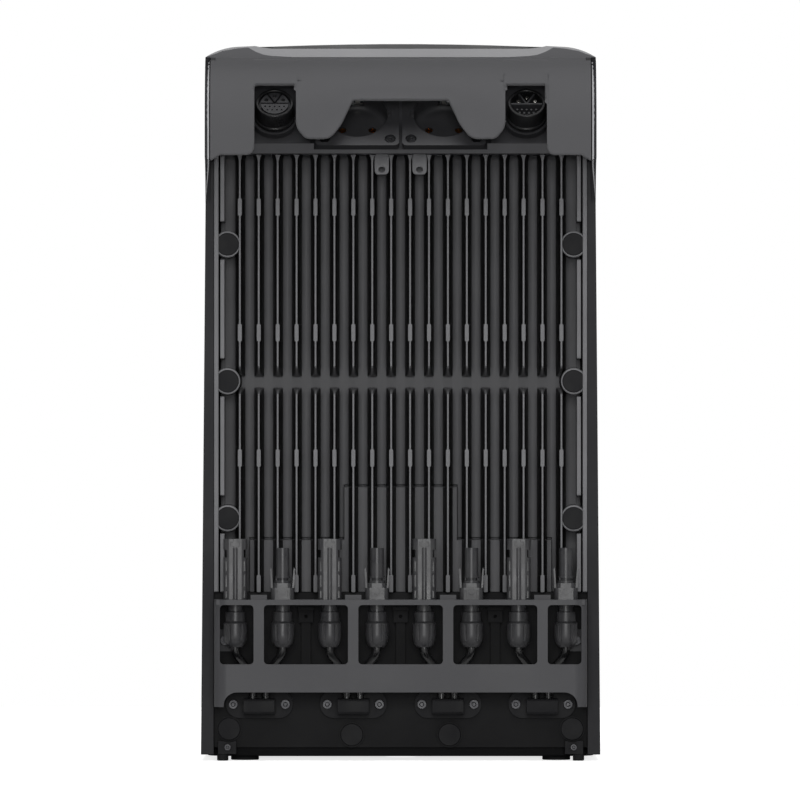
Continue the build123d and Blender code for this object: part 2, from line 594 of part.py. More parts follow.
def make_pv_plug(x):
    """A male solar connector: a long nose, a seal seat and two latch arms."""
    body = Pos(x, PV_Y, SHELF_TOP) * extrude(RectangleRounded(15.0, 13.0, 3.0), amount=7.5)
    body += Pos(x, PV_Y, 111.0) * extrude(RectangleRounded(12.0, 12.0, 3.0), amount=3.0)
    body += post(5.3, (x, PV_Y, 114.0), 1.6)
    body += post(3.6, (x, PV_Y, 115.6), 1.7)
    body += post(5.0, (x, PV_Y, 117.3), 1.2)
    body += post(4.35, (x, PV_Y, 118.5), 18.0)
    for side in (-1, 1):
        arm = [(6.0, 109.0), (7.4, 109.0), (7.9, 122.0), (8.3, 122.4), (7.2, 124.0), (6.9, 122.0)]
        outline = make_face(Polyline(*[(x + side * reach, z) for reach, z in arm], close=True))
        body += extrude(Plane.XZ.offset(-PV_Y - 2.4) * outline, amount=4.8)
        face_y = PV_Y + side * 6.5
        body -= block((x - 4.6, x - 3.2), (face_y - 1.2, face_y + 1.2), (104.6, 109.4))
        body -= block((x + 3.2, x + 4.6), (face_y - 1.2, face_y + 1.2), (104.6, 109.4))
        body += stud(1.9, x, 108.6, *sorted((face_y - side * 1.0, face_y + side * 0.7)))
    body += post(NECK_R, (x, PV_Y, 95.8), SHELF_TOP - 95.8)
    body -= post(2.9, (x, PV_Y, 112.0), 40)
    return body - post(2.7, (x, PV_Y, 80.0), 60)


def make_pv_gland_nuts():
    """The eight gland nuts: a ring over a wider domed cap with grip grooves."""
    nuts = []
    for x in PV_XS:
        profile = Polyline((2.75, 73.0), (4.6, 73.0), (6.2, 75.0), (7.2, 78.0), (7.5, 81.0), (7.5, 88.2),
                           (6.9, 89.0), (6.25, 89.4), (6.25, 95.6), (2.75, 95.6), close=True)
        nut = revolve(Plane.XZ * make_face(profile), axis=Axis.Z)
        for index in range(6):
            groove = Rot(0, 0, index * 60) * (Pos(7.7, 0, 82.4) * Box(2.6, 1.5, 10.0))
            nut -= groove
        nuts.append(Pos(x, PV_Y, 0) * nut)
    return group(nuts)


def make_pv_contacts():
    """The crimped contacts: pins in the male connectors and sleeves in the female ones."""
    contacts = []
    for index, x in enumerate(PV_XS):
        crimp = post(2.65, (x, PV_Y, 104.0), 8.0)
        if index % 2:
            contacts.append(crimp + post(1.5, (x, PV_Y, 111.0), 22.0))
        else:
            sleeve = post(2.4, (x, PV_Y, 111.0), 22.0) - post(1.6, (x, PV_Y, 114.0), 22.0)
            contacts.append(crimp + sleeve)
    return group(contacts)


def lead_route(index):
    """The way of one lead: down from its gland nut, across to its pair's outlet and down into it."""
    x = PV_XS[index]
    pair = PAIR_XS[index // 2]
    end_x = pair + math.copysign(LEAD_SPREAD, x - pair)
    points = [(x, PV_Y, 103.0), (x, PV_Y, 69.0), (end_x, LEAD_END_Y, 55.0), (end_x, LEAD_END_Y, 33.0)]
    return FilletPolyline(*points, radius=7.5)


def make_pv_lead(index):
    """One insulated lead between a connector and its outlet block."""
    route = lead_route(index)
    start = Plane(origin=route @ 0, z_dir=route % 0)
    return sweep(start * Circle(LEAD_R), path=route)


def make_lead_outlets():
    """Four strain-relief blocks on obround flanges, each with two lead holes from above."""
    outlets = []
    for x in PAIR_XS:
        flange = extrude(Plane.XZ.offset(-PANEL_Y) * (Pos(x, 36.1) * SlotOverall(43, 18)), amount=3.0)
        body = block((x - 10, x + 10), (-115.5, PANEL_Y - 2.9), (BLOCK_LOW, BLOCK_TOP))
        body = fillet(body.edges().filter_by(Axis.X).group_by(Axis.Y)[0], 2.0)
        outlet = flange + body
        for side in (-1, 1):
            outlet -= post(LEAD_R + 0.05, (x + side * LEAD_SPREAD, LEAD_END_Y, 32.9), 10)
            outlet -= stud(1.8, x + side * 16.7, 36.0, PANEL_Y - 4, PANEL_Y + 1)
        outlets.append(outlet)
    return group(outlets)


def make_lead_outlet_screws():
    """Eight screws through the flanges of the lead outlets."""
    screws = []
    for x in PAIR_XS:
        for screw_x in (x - 16.7, x + 16.7):
            head = stud(3.0, screw_x, 36.0, PANEL_Y - 4.6, PANEL_Y - 3.0)
            head -= stud(1.3, screw_x, 36.0, PANEL_Y - 5, PANEL_Y - 3.8)
            screws.append(head + stud(1.25, screw_x, 36.0, PANEL_Y - 3.2, PANEL_Y + 6))
    return group(screws)


# ---- feet -------------------------------------------------------------------------------------
def make_foot_tabs():
    """Two screwed tabs at the lower rear corners that hold the rear feet."""
    tabs = []
    for side in (-1, 1):
        span = sorted((side * 105.3, side * 117.0))
        tab = block(span, (RIM_Y + 0.5, PANEL_Y), (4.2, 12.7)) - stud(1.75, side * 110.9, 8.6, -110, -90)
        tabs.append(tab - stud(PLUG_R + 1.1, side * 110.0, 20.2, -110, -90))
    return group(tabs)


def make_foot_screws():
    """The screws of the foot tabs."""
    screws = []
    for side in (-1, 1):
        head = stud(2.1, side * 110.9, 8.6, RIM_Y - 1.0, RIM_Y + 0.5)
        head -= stud(0.9, side * 110.9, 8.6, RIM_Y - 1.5, RIM_Y - 0.3)
        screws.append(head + stud(1.7, side * 110.9, 8.6, RIM_Y + 0.3, PANEL_Y + 0.0))
    return group(screws)


def make_feet():
    """Four round rubber feet under the tray."""
    feet = [post(3.65, (side * FOOT_X, RIM_Y + 4.2, 0), 4.2) for side in (-1, 1)]
    for side in (-1, 1):
        for y in (-80.0, 112.0):
            feet.append(post(9.0, (side * 100.0, y, 0), 2.6))
    return group(feet)


# ---- inside -----------------------------------------------------------------------------------
def make_chassis_plate():
    """The sheet that carries the electronics and closes the battery's side."""
    plate = block((-115, 115), (8.0, 10.0), (14, 430)) + block((-115, 115), (-50.0, 10.0), (12.1, 14.1))
    for x in (-60, 60):
        for z in (130, 360):
            plate -= stud(4, x, z, 7, 11)
    return plate


def battery_cell_places():
    """The lower left rear corners of the sixteen cells, eight across and two high."""
    return [(-110.4 + column * 27.6, row) for row in (22.0, 192.0) for column in range(8)]


def make_battery_cells():
    """Sixteen prismatic cells."""
    cells = []
    for x, z in battery_cell_places():
        cell = block((x, x + 26.8), (20.0, 120.0), (z, z + 148.0))
        cells.append(fillet(cell.edges().filter_by(Axis.Z), 2.0))
    return group(cells)


def make_cell_frames():
    """The plastic trays under and between the two layers of cells."""
    frames = []
    for z in (18.0, 184.0):
        frames.append(block((-113, 113), (16, 124), (z, z + 3.8)))
    return group(frames)


def make_cell_terminals():
    """The thirty-two terminals on top of the cells."""
    studs = []
    for x, z in battery_cell_places():
        for y in (42.0, 98.0):
            studs.append(post(4.0, (x + 13.4, y, z + 148.0), 3.0))
    return group(studs)


def make_busbars():
    """Flat links across the terminals of neighbouring cells."""
    bars = []
    for top in (173.0, 343.0):
        for column in range(0, 8, 2):
            x = -110.4 + column * 27.6
            bars.append(block((x + 6, x + 48.4), (36.0, 48.0), (top, top + 1.5)))
        for column in range(1, 7, 2):
            x = -110.4 + column * 27.6
            bars.append(block((x + 6, x + 48.4), (92.0, 104.0), (top, top + 1.5)))
    return group(bars)


def make_bms_board():
    """The battery management board on four spacers above the cells."""
    board = block((-90, 90), (24, 116), (362.0, 363.6))
    for x in (-80, 80):
        for y in (32, 108):
            board += post(3.0, (x, y, 344.6), 17.4)
    for x in (-60, -20, 20, 60):
        board += block((x - 8, x + 8), (60, 84), (363.6, 368.0))
    return board


def make_inverter_board():
    """The inverter's main board, standing in front of the heat sink."""
    board = block((-105, 105), (-52.0, -50.0), (122, 368))
    for x in (-95, 95):
        for z in (132, 358):
            board += stud(3.0, x, z, -66.2, -51.0)
    for index in range(6):
        board += block((-90 + index * 32, -74 + index * 32), (-50.0, -44.0), (330, 350))
    return board


def make_power_modules():
    """Eight power packages clamped to the heat sink's back through the thermal pad."""
    modules = []
    for index in range(8):
        x = -77 + index * 22
        modules.append(block((x - 8, x + 8), (-66.0, -61.0), (210, 231)))
    return group(modules)


def make_thermal_pad():
    """The insulating pad between the power packages and the heat sink."""
    return block((-92, 92), (SINK_BACK_Y, SINK_BACK_Y + 1.9), (200, 241))


def make_magnetics():
    """Two inductors and one transformer: wound cores on the board."""
    parts = []
    for x, z, radius in ((-62, 170, 20), (0, 170, 20), (62, 170, 24)):
        core = stud(radius, x, z, -49.9, -25.0) - stud(radius * 0.42, x, z, -51, -24)
        parts.append(core)
    parts.append(block((-30, 30), (-49.9, -12.0), (255, 300)))
    return group(parts)


def make_bus_capacitors():
    """Six can capacitors standing on the board."""
    return group([stud(10.5, -85 + index * 27, 228, -49.9, -8.0) for index in (0, 1, 2, 4, 5, 6)])


# ---- front ------------------------------------------------------------------------------------
def make_power_button():
    """The push button: a domed cap on a stem with a retaining collar."""
    cap = stud(8.9, 0, BUTTON_Z, FRONT_Y - 5.0, FRONT_Y - 0.3)
    cap = fillet(cap.edges().group_by(Axis.Y)[-1], 1.0)
    collar = stud(10.6, 0, BUTTON_Z, FRONT_Y - 6.6, FRONT_Y - 5.0)
    return cap + collar + stud(2.4, 0, BUTTON_Z, FRONT_Y - 13.0, FRONT_Y - 6.0)


def make_button_spring():
    """The wave-spring washer behind the button, drawn as a plain ring."""
    return stud(6.4, 0, BUTTON_Z, FRONT_Y - 14.4, FRONT_Y - 8.8) - stud(4.6, 0, BUTTON_Z, FRONT_Y - 20, FRONT_Y)


def make_button_board():
    """The small board behind the button and the light bar, with the switch."""
    board = block((-42, 42), (FRONT_Y - 18.0, FRONT_Y - 16.4), (362, 410))
    board += stud(5.5, 0, BUTTON_Z, FRONT_Y - 16.5, FRONT_Y - 14.9)
    for x in (-38.5, 38.5):
        for z in (366, 406):
            board += stud(2.5, x, z, FRONT_Y - 16.5, FRONT_Y - WALL)
    return board


def make_light_guide():
    """The clear bar of the charge display in the front wall."""
    bar = block((-34.8, 34.8), (FRONT_Y - 5.0, FRONT_Y - 0.2), (368.7, 373.3))
    return bar + block((-34.8, 34.8), (FRONT_Y - 6.2, FRONT_Y - WALL - 0.05), (367.0, 375.0))


# ---- write every sub-part ---------------------------------------------------------------------
def build_parts():
    """All sub-parts by name, each in its place at rest."""
    blank = case_blank(0)
    inside = case_blank(WALL, open_rear=True)
    parts = {
        "outer_shell": make_outer_shell(blank, inside),
        "top_cap": make_top_cap(blank, inside),
        "bottom_tray": make_bottom_tray(),
        "heat_sink": make_heat_sink(),
        "connection_plate": make_connection_plate(),
        "screw_plugs": make_screw_plugs(),
        "case_gasket": make_case_gasket(),
        "socket_deck": make_socket_deck(),
        "outlet_left": make_outlet(-1),
        "outlet_right": make_outlet(1),
        "outlet_earth_clips": make_outlet_earth_clips(),
        "outlet_contacts": make_outlet_contacts(),
        "outlet_screws": make_outlet_screws(),
        "grid_outlet_housing": make_grid_housing(-1),
        "grid_inlet_housing": make_grid_housing(1),
        "grid_collars": make_grid_collars(),
        "grid_inserts": group([make_grid_insert_female(), make_grid_insert_male()]),
        "grid_contacts": make_grid_contacts(),
        "rain_flap": make_rain_flap(),
        "flap_hinge_rod": hinge_rod(1.3),
        "guard_bracket": make_guard_bracket(),
        "guard_screws": make_guard_screws(),
        "pv_gland_nuts": make_pv_gland_nuts(),
        "pv_contacts": make_pv_contacts(),
        "lead_outlets": make_lead_outlets(),
        "lead_outlet_screws": make_lead_outlet_screws(),
        "foot_tabs": make_foot_tabs(),
        "foot_screws": make_foot_screws(),
        "feet": make_feet(),
        "chassis_plate": make_chassis_plate(),
        "battery_cells": make_battery_cells(),
        "cell_frames": make_cell_frames(),
        "cell_terminals": make_cell_terminals(),
        "busbars": make_busbars(),
        "bms_board": make_bms_board(),
        "inverter_board": make_inverter_board(),
        "power_modules": make_power_modules(),
        "thermal_pad": make_thermal_pad(),
        "magnetics": make_magnetics(),
        "bus_capacitors": make_bus_capacitors(),
        "power_button": make_power_button(),
        "button_spring": make_button_spring(),
        "button_board": make_button_board(),
        "light_guide": make_light_guide(),
    }
    for index, x in enumerate(PV_XS):
        kind = "plug" if index % 2 else "socket"
        maker = make_pv_plug if index % 2 else make_pv_socket
        parts[f"pv_{kind}_{index // 2 + 1}"] = maker(x)
        parts[f"pv_lead_{index + 1}"] = make_pv_lead(index)
    return parts


def write_parts():
    """Write each sub-part to its own file."""
    os.makedirs("parts", exist_ok=True)
    for name, part in build_parts().items():
        export_step(part, f"parts/{name}.step")


write_parts()
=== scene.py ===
"""Looks of a balcony solar storage tower with a built-in string inverter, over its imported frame."""
from __future__ import annotations

import json
import logging
import math
from dataclasses import dataclass, field
from enum import Enum
from typing import Sequence

import bmesh
import bpy
import numpy as np
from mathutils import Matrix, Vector

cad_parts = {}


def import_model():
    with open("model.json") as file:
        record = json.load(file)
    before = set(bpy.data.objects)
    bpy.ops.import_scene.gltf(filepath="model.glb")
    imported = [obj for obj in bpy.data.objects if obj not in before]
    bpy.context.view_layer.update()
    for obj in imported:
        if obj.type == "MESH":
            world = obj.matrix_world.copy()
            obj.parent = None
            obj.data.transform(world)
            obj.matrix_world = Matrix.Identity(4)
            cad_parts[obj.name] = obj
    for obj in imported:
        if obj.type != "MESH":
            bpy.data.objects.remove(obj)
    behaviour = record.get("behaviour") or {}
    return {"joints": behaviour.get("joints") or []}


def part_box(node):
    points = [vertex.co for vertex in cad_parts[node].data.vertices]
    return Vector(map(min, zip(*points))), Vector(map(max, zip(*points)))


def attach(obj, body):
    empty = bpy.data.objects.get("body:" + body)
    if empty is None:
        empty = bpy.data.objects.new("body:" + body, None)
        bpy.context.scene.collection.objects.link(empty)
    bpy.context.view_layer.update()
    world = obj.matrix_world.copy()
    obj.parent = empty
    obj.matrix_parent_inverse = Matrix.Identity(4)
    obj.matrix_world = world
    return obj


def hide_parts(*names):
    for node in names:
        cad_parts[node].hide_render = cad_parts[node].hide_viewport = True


LOG = logging.getLogger("tower")
MM = 0.001


# ---- colour and nodes --------------------------------------------------------------------------
def linear(colour: str) -> tuple[float, float, float, float]:
    """Turn an sRGB hex value into linear light.

    Args:
        colour: six hex digits, such as "2a2a2c".

    Returns:
        Red, green, blue and an alpha of one.
    """
    channels = [int(colour[i:i + 2], 16) / 255 for i in (0, 2, 4)]
    light = [c / 12.92 if c <= 0.04045 else ((c + 0.055) / 1.055) ** 2.4 for c in channels]
    return light[0], light[1], light[2], 1.0


def add_node(tree: bpy.types.NodeTree, kind: str, settings: dict | None = None,
             inputs: dict | None = None) -> bpy.types.Node:
    """Add a node, set its own properties, and fill or link its sockets.

    Args:
        tree: the node tree that takes the node.
        kind: Blender's type name of the node.
        settings: properties of the node by name.
        inputs: values for its sockets by name or index; a socket given as a value is linked.

    Returns:
        The new node.
    """
    node = tree.nodes.new(kind)
    for name, value in (settings or {}).items():
        setattr(node, name, value)
    for name, value in (inputs or {}).items():
        if isinstance(value, bpy.types.NodeSocket):
            tree.links.new(value, node.inputs[name])
        else:
            node.inputs[name].default_value = value
    return node


class Grain(Enum):
    """How the surface was made, which sets the shape of its finest relief."""

    MOULDED = "moulded"      # spark-eroded mould texture: small even pits
    CAST = "cast"            # die-cast skin under a coat: soft orange peel with flow marks
    ROLLED = "rolled"        # drawn or rolled metal: fine lines along one axis
    SMOOTH = "smooth"        # polished mould or jacket: almost no relief


@dataclass(frozen=True)
class Finish:
    """A surface finish: what it is made of and how its relief and colour vary.

    The base colour drifts between two shades over patches of patch_mm, the gloss drifts with it,
    and grain_mm with relief_mm give the finest bumps, in the way that the grain names.  The depth triple
    holds a near Y, a far Y and the share of the colour that is left at the far one: painted shade where
    that share is below one and painted light where it is above.  The flank share is what is left on walls
    that face along X, as painted shade.
    """

    name: str
    shade: str
    drift: str
    roughness: float
    roughness_drift: float = 0.08
    metallic: float = 0.0
    grain: Grain = Grain.MOULDED
    grain_mm: float = 0.8
    relief_mm: float = 0.02
    patch_mm: float = 35.0
    specular: float = 0.5
    coat: float = 0.0
    sheen: float = 0.0
    dust: float = 0.0
    painted_depth_shading: tuple[float, float, float] | None = None
    painted_flank_shade: float = 1.0

    def make(self) -> bpy.types.Material:
        """Build the node material, or return the one that is already there."""
        known = bpy.data.materials.get(self.name)
        if known:
            return known
        material = bpy.data.materials.new(self.name)
        material.use_nodes = True
        tree = material.node_tree
        tree.nodes.clear()
        place = add_node(tree, "ShaderNodeTexCoord").outputs["Object"]
        patches = add_node(tree, "ShaderNodeTexNoise", {}, {
            "Vector": place, "Scale": 1 / (self.patch_mm * MM), "Detail": 5.0, "Roughness": 0.55})
        colour = self._with_painted_shading(tree, place, self._colour(tree, place, patches.outputs["Fac"]))
        gloss = add_node(tree, "ShaderNodeMapRange", {}, {
            "Value": patches.outputs["Fac"], "From Min": 0.3, "From Max": 0.7,
            "To Min": max(0.02, self.roughness - self.roughness_drift),
            "To Max": min(1.0, self.roughness + self.roughness_drift)})
        relief = self._relief(tree, place)
        bump = add_node(tree, "ShaderNodeBump", {}, {
            "Height": relief, "Strength": 1.0, "Distance": self.relief_mm * MM})
        shader = add_node(tree, "ShaderNodeBsdfPrincipled", {}, {
            "Base Color": colour, "Roughness": gloss.outputs["Result"], "Normal": bump.outputs["Normal"]})
        shader.inputs["Metallic"].default_value = self.metallic
        shader.inputs["Specular IOR Level"].default_value = self.specular
        shader.inputs["Coat Weight"].default_value = self.coat
        shader.inputs["Sheen Weight"].default_value = self.sheen
        shader.inputs["Sheen Roughness"].default_value = 0.5
        add_node(tree, "ShaderNodeOutputMaterial", {}, {"Surface": shader.outputs["BSDF"]})
        return material

    def _colour(self, tree: bpy.types.NodeTree, place: bpy.types.NodeSocket,
                patches: bpy.types.NodeSocket) -> bpy.types.NodeSocket:
        """Two shades over large patches, with a little settled dust in fine speckles."""
        ramp = add_node(tree, "ShaderNodeValToRGB", {}, {"Fac": patches})
        ramp.color_ramp.elements[0].position = 0.32
        ramp.color_ramp.elements[0].color = linear(self.shade)
        ramp.color_ramp.elements[1].position = 0.72
        ramp.color_ramp.elements[1].color = linear(self.drift)
        if self.dust <= 0:
            return ramp.outputs["Color"]
        speck = add_node(tree, "ShaderNodeTexNoise", {}, {
            "Vector": place, "Scale": 1 / (1.6 * MM), "Detail": 2.0, "Roughness": 0.7})
        amount = add_node(tree, "ShaderNodeMapRange", {}, {
            "Value": speck.outputs["Fac"], "From Min": 0.55, "From Max": 0.85, "To Min": 0.0,
            "To Max": self.dust})
        mix = add_node(tree, "ShaderNodeMix", {"data_type": "RGBA"}, {0: amount.outputs["Result"]})
        tree.links.new(ramp.outputs["Color"], mix.inputs[6])
        mix.inputs[7].default_value = linear("8a8883")
        return mix.outputs[2]

    def _with_painted_shading(self, tree: bpy.types.NodeTree, place: bpy.types.NodeSocket,
                  colour: bpy.types.NodeSocket) -> bpy.types.NodeSocket:
        """The colour with painted shade and light: scaled by depth behind the rear rim, and darkened as painted
        shade on walls that face along X.
        """
        if self.painted_depth_shading is None:
            return colour
        near, far, left = self.painted_depth_shading
        y = add_node(tree, "ShaderNodeSeparateXYZ", {}, {"Vector": place}).outputs["Y"]
        share = add_node(tree, "ShaderNodeMapRange", {"interpolation_type": "SMOOTHSTEP"}, {
            "Value": y, "From Min": near, "From Max": far, "To Min": 1.0, "To Max": left})
        facing = add_node(tree, "ShaderNodeNewGeometry").outputs["Normal"]
        sideways = add_node(tree, "ShaderNodeSeparateXYZ", {}, {"Vector": facing}).outputs["X"]
        turned_away = add_node(tree, "ShaderNodeMath", {"operation": "ABSOLUTE"}, {0: sideways})
        wall = add_node(tree, "ShaderNodeMapRange", {"interpolation_type": "SMOOTHSTEP"}, {
            "Value": turned_away.outputs["Value"], "From Min": 0.35, "From Max": 0.9, "To Min": 1.0,
            "To Max": self.painted_flank_shade})
        both = add_node(tree, "ShaderNodeMath", {"operation": "MULTIPLY"}, {
            0: share.outputs["Result"], 1: wall.outputs["Result"]})
        scaled = add_node(tree, "ShaderNodeVectorMath", {"operation": "SCALE"}, {
            0: colour, "Scale": both.outputs["Value"]})
        return scaled.outputs["Vector"]

    def _relief(self, tree: bpy.types.NodeTree, place: bpy.types.NodeSocket) -> bpy.types.NodeSocket:
        """The finest bumps, shaped by how the surface was made."""
        scale = 1 / (self.grain_mm * MM)
        if self.grain is Grain.ROLLED:
            stretched = add_node(tree, "ShaderNodeMapping", {}, {"Vector": place, "Scale": (0.05, 1.0, 1.0)})
            lines = add_node(tree, "ShaderNodeTexNoise", {}, {
                "Vector": stretched.outputs["Vector"], "Scale": scale, "Detail": 3.0})
            return lines.outputs["Fac"]
        if self.grain is Grain.CAST:
            peel = add_node(tree, "ShaderNodeTexNoise", {}, {
                "Vector": place, "Scale": scale, "Detail": 4.0, "Roughness": 0.62, "Distortion": 0.4})
            flow = add_node(tree, "ShaderNodeTexNoise", {}, {
                "Vector": place, "Scale": scale / 9, "Detail": 2.0})
            both = add_node(tree, "ShaderNodeMath", {"operation": "MULTIPLY_ADD"}, {
                0: flow.outputs["Fac"], 1: 1.6, 2: peel.outputs["Fac"]})
            return both.outputs["Value"]
        if self.grain is Grain.SMOOTH:
            soft = add_node(tree, "ShaderNodeTexNoise", {}, {"Vector": place, "Scale": scale, "Detail": 1.0})
            return soft.outputs["Fac"]
        pits = add_node(tree, "ShaderNodeTexVoronoi", {"feature": "SMOOTH_F1"}, {
            "Vector": place, "Scale": scale, "Smoothness": 0.6})
        return pits.outputs["Distance"]


class Finishes:
    """Every finish of the tower, named for what it is."""

    # Polyester powder coat on the wrap: satin, with a faint orange peel.
    CASE = Finish("powder_coat_satin_black", "1c1c1e", "202022", 0.50, grain=Grain.CAST, grain_mm=1.3,
                  relief_mm=0.010, patch_mm=60, specular=0.10)
    # The lid: painted light as a highlight on its top-lit rear lip, and painted shade forward of the lip, in the
    # grip recess, down to a fifth of the colour, about as dark as the wrap.
    LID = Finish("powder_coat_lid_painted_light_and_shade", "69696b", "6f6f71", 0.46, grain=Grain.CAST, grain_mm=1.2, relief_mm=0.010,
                 patch_mm=60, specular=0.45, painted_depth_shading=(-0.1040, -0.0800, 0.20))
    # The same coat, painted lighter along the cheeks' rounded edge as a painted highlight.
    EDGE_HIGHLIGHT = Finish("powder_coat_painted_edge_highlight", "868688", "8f8f91", 0.42, grain=Grain.CAST, grain_mm=1.0,
                  relief_mm=0.010, patch_mm=30, specular=0.5)
    # Black coat on die-cast aluminium, with painted shade: the channel floors are painted darker than the fins'
    # tips, and the fins' flanks that face along X are painted almost black.
    CAST = Finish("coated_die_cast_aluminium", "5d5d5f", "666668", 0.55, grain=Grain.CAST, grain_mm=0.9,
                  relief_mm=0.035, patch_mm=28, specular=0.16, dust=0.04,
                  painted_depth_shading=(-0.1055, -0.1020, 0.72), painted_flank_shade=0.03)
    # The same coat on the smooth lower panel, its colour painted far darker than the fins' as painted shade under
    # the guard.
    PANEL = Finish("coated_panel", "111112", "151516", 0.56, grain=Grain.CAST, grain_mm=1.1, relief_mm=0.015,
                   patch_mm=45, specular=0.07)
    # Powder-coated steel of the guard, a little lighter.
    GUARD = Finish("powder_coat_guard", "39393b", "3e3e40", 0.48, grain=Grain.CAST, grain_mm=1.0,
                   relief_mm=0.012, patch_mm=50, specular=0.15)
    # Thermoplastic elastomer of the hood: matte, with a soft bloom at grazing light.
    HOOD = Finish("soft_touch_elastomer", "434345", "474749", 0.72, roughness_drift=0.05, grain_mm=0.55,
                  relief_mm=0.012, patch_mm=70, specular=0.28, sheen=0.08)
    # Glass-filled polyamide: dull black with a fine mould grain.
    # On the deck, painted light makes the colour up to three times lighter further in, behind the kerb, standing in
    # for bounce light under the hood.
    DECK = Finish("moulded_polyamide_black", "242426", "2a2a2c", 0.55, grain_mm=0.7, relief_mm=0.02,
                  patch_mm=30, specular=0.18, painted_depth_shading=(-0.1180, -0.1000, 3.0))
    OUTLET = Finish("moulded_outlet_black", "2d2d2f", "343436", 0.44, grain_mm=0.45, relief_mm=0.012,
                    patch_mm=25, specular=0.25)
    HOUSING = Finish("moulded_housing_black", "111112", "161617", 0.32, grain_mm=0.45, relief_mm=0.010,
                     patch_mm=14, specular=0.20)
    INSERT = Finish("moulded_insert_black", "262628", "2e2e30", 0.36, grain=Grain.SMOOTH, grain_mm=1.5,
                    relief_mm=0.01, patch_mm=10, specular=0.20)
    CONNECTOR = Finish("moulded_connector_black", "2c2c2e", "343435", 0.34, grain_mm=0.5, relief_mm=0.015,
                       patch_mm=12, specular=0.28)
    PLUG = Finish("moulded_plug_black", "131314", "171719", 0.50, grain_mm=0.5, relief_mm=0.018, patch_mm=14,
                  specular=0.08)
    TRAY = Finish("moulded_tray_black", "0c0c0d", "101011", 0.70, grain_mm=0.9, relief_mm=0.02, specular=0.07)
    RUBBER = Finish("moulded_rubber_black", "161617", "1b1b1c", 0.80, grain_mm=0.6, relief_mm=0.015,
                    specular=0.12)
    JACKET = Finish("cable_jacket_black", "101011", "161617", 0.26, grain=Grain.SMOOTH, grain_mm=3.0,
                    relief_mm=0.02, patch_mm=18)
    NICKEL = Finish("nickel_plate", "c9c6c0", "d6d4cf", 0.22, metallic=1.0, grain=Grain.ROLLED, grain_mm=0.4,
                    relief_mm=0.004, patch_mm=6)
    TIN = Finish("tinned_copper", "a9a9a8", "b8b8b6", 0.34, metallic=1.0, grain=Grain.ROLLED, grain_mm=0.4,
                 relief_mm=0.006, patch_mm=6)
    BRASS = Finish("plain_brass", "b08d4c", "c19d5a", 0.30, metallic=1.0, grain=Grain.ROLLED, grain_mm=0.5,
                   relief_mm=0.006, patch_mm=8)
    SCREW = Finish("black_zinc_screw", "1a1a1c", "242427", 0.34, metallic=0.6, grain=Grain.ROLLED, grain_mm=0.3,
                   relief_mm=0.01, patch_mm=4)
    STEEL = Finish("zinc_coated_sheet", "8b8c8e", "9a9b9d", 0.40, metallic=1.0, grain=Grain.CAST, grain_mm=4.0,
                   relief_mm=0.01, patch_mm=9)
    ALLOY = Finish("bare_aluminium", "c3c4c6", "d0d1d3", 0.33, metallic=1.0, grain=Grain.ROLLED, grain_mm=0.5,
                   relief_mm=0.008, patch_mm=12)
    CELL = Finish("blue_film_over_can", "1f4f96", "27589f", 0.38, grain=Grain.SMOOTH, grain_mm=14,
                  relief_mm=0.08, patch_mm=40, coat=0.3)
    BOARD = Finish("solder_mask_green", "0f4a28", "14542f", 0.34, grain=Grain.SMOOTH, grain_mm=1.2,
                   relief_mm=0.02, patch_mm=16, coat=0.2)
    COMPOUND = Finish("moulding_compound", "1a1a1c", "202022", 0.55, grain_mm=0.4, relief_mm=0.01)
    SLEEVE = Finish("shrink_sleeve", "131a2b", "182035", 0.32, grain=Grain.SMOOTH, grain_mm=5, relief_mm=0.03)
    SILICONE = Finish("silicone_pad", "7b7f86", "868a91", 0.75, grain_mm=0.7, relief_mm=0.01)
    BUTTON = Finish("satin_button_cap", "313134", "38383b", 0.30, grain=Grain.SMOOTH, grain_mm=2,
                    relief_mm=0.006, coat=0.25)
    LIGHT_BAR = Finish("frosted_light_bar", "c7ced0", "d4dadb", 0.28, grain=Grain.SMOOTH, grain_mm=2,
                       relief_mm=0.008, coat=0.4)


# ---- meshes ------------------------------------------------------------------------------------
def grid_faces(rows: int, columns: int, around: bool = False, closed: bool = False) -> np.ndarray:
    """Quads of a grid of points, row by row.

    Args:
        rows: number of rows.
        columns: number of points in each row.
        around: join the last column to the first.
        closed: join the last row to the first.

    Returns:
        An array of four vertex numbers for each face.
    """
    row = np.arange(rows if closed else rows - 1)[:, None]
    column = np.arange(columns if around else columns - 1)[None, :]
    next_row, next_column = (row + 1) % rows, (column + 1) % columns
    corners = (row * columns + column, row * columns + next_column,
               next_row * columns + next_column, next_row * columns + column)
    return np.stack([np.broadcast_to(c, (row.size, column.size)).ravel() for c in corners], axis=1)


def new_object(name: str, vertices: np.ndarray, faces: Sequence, smooth_deg: float = 40.0) -> bpy.types.Object:
    """Make an object from points and faces, welded, with its normals outwards.

    Args:
        name: the piece's name.
        vertices: one row of x, y, z for each point, in metres.
        faces: vertex numbers of each face.
        smooth_deg: edges sharper than this stay crisp.

    Returns:
        The object, linked to the scene and at the origin.
    """
    mesh = bpy.data.meshes.new(name)
    corners = np.asarray(vertices, float).reshape(-1, 3).tolist()
    mesh.from_pydata(corners, [], [list(map(int, face)) for face in faces])
    work = bmesh.new()
    work.from_mesh(mesh)
    bmesh.ops.remove_doubles(work, verts=work.verts, dist=1e-6)
    bmesh.ops.recalc_face_normals(work, faces=work.faces)
    work.to_mesh(mesh)
    work.free()
    smooth(mesh, smooth_deg)
    thing = bpy.data.objects.new(name, mesh)
    bpy.context.scene.collection.objects.link(thing)
    return thing


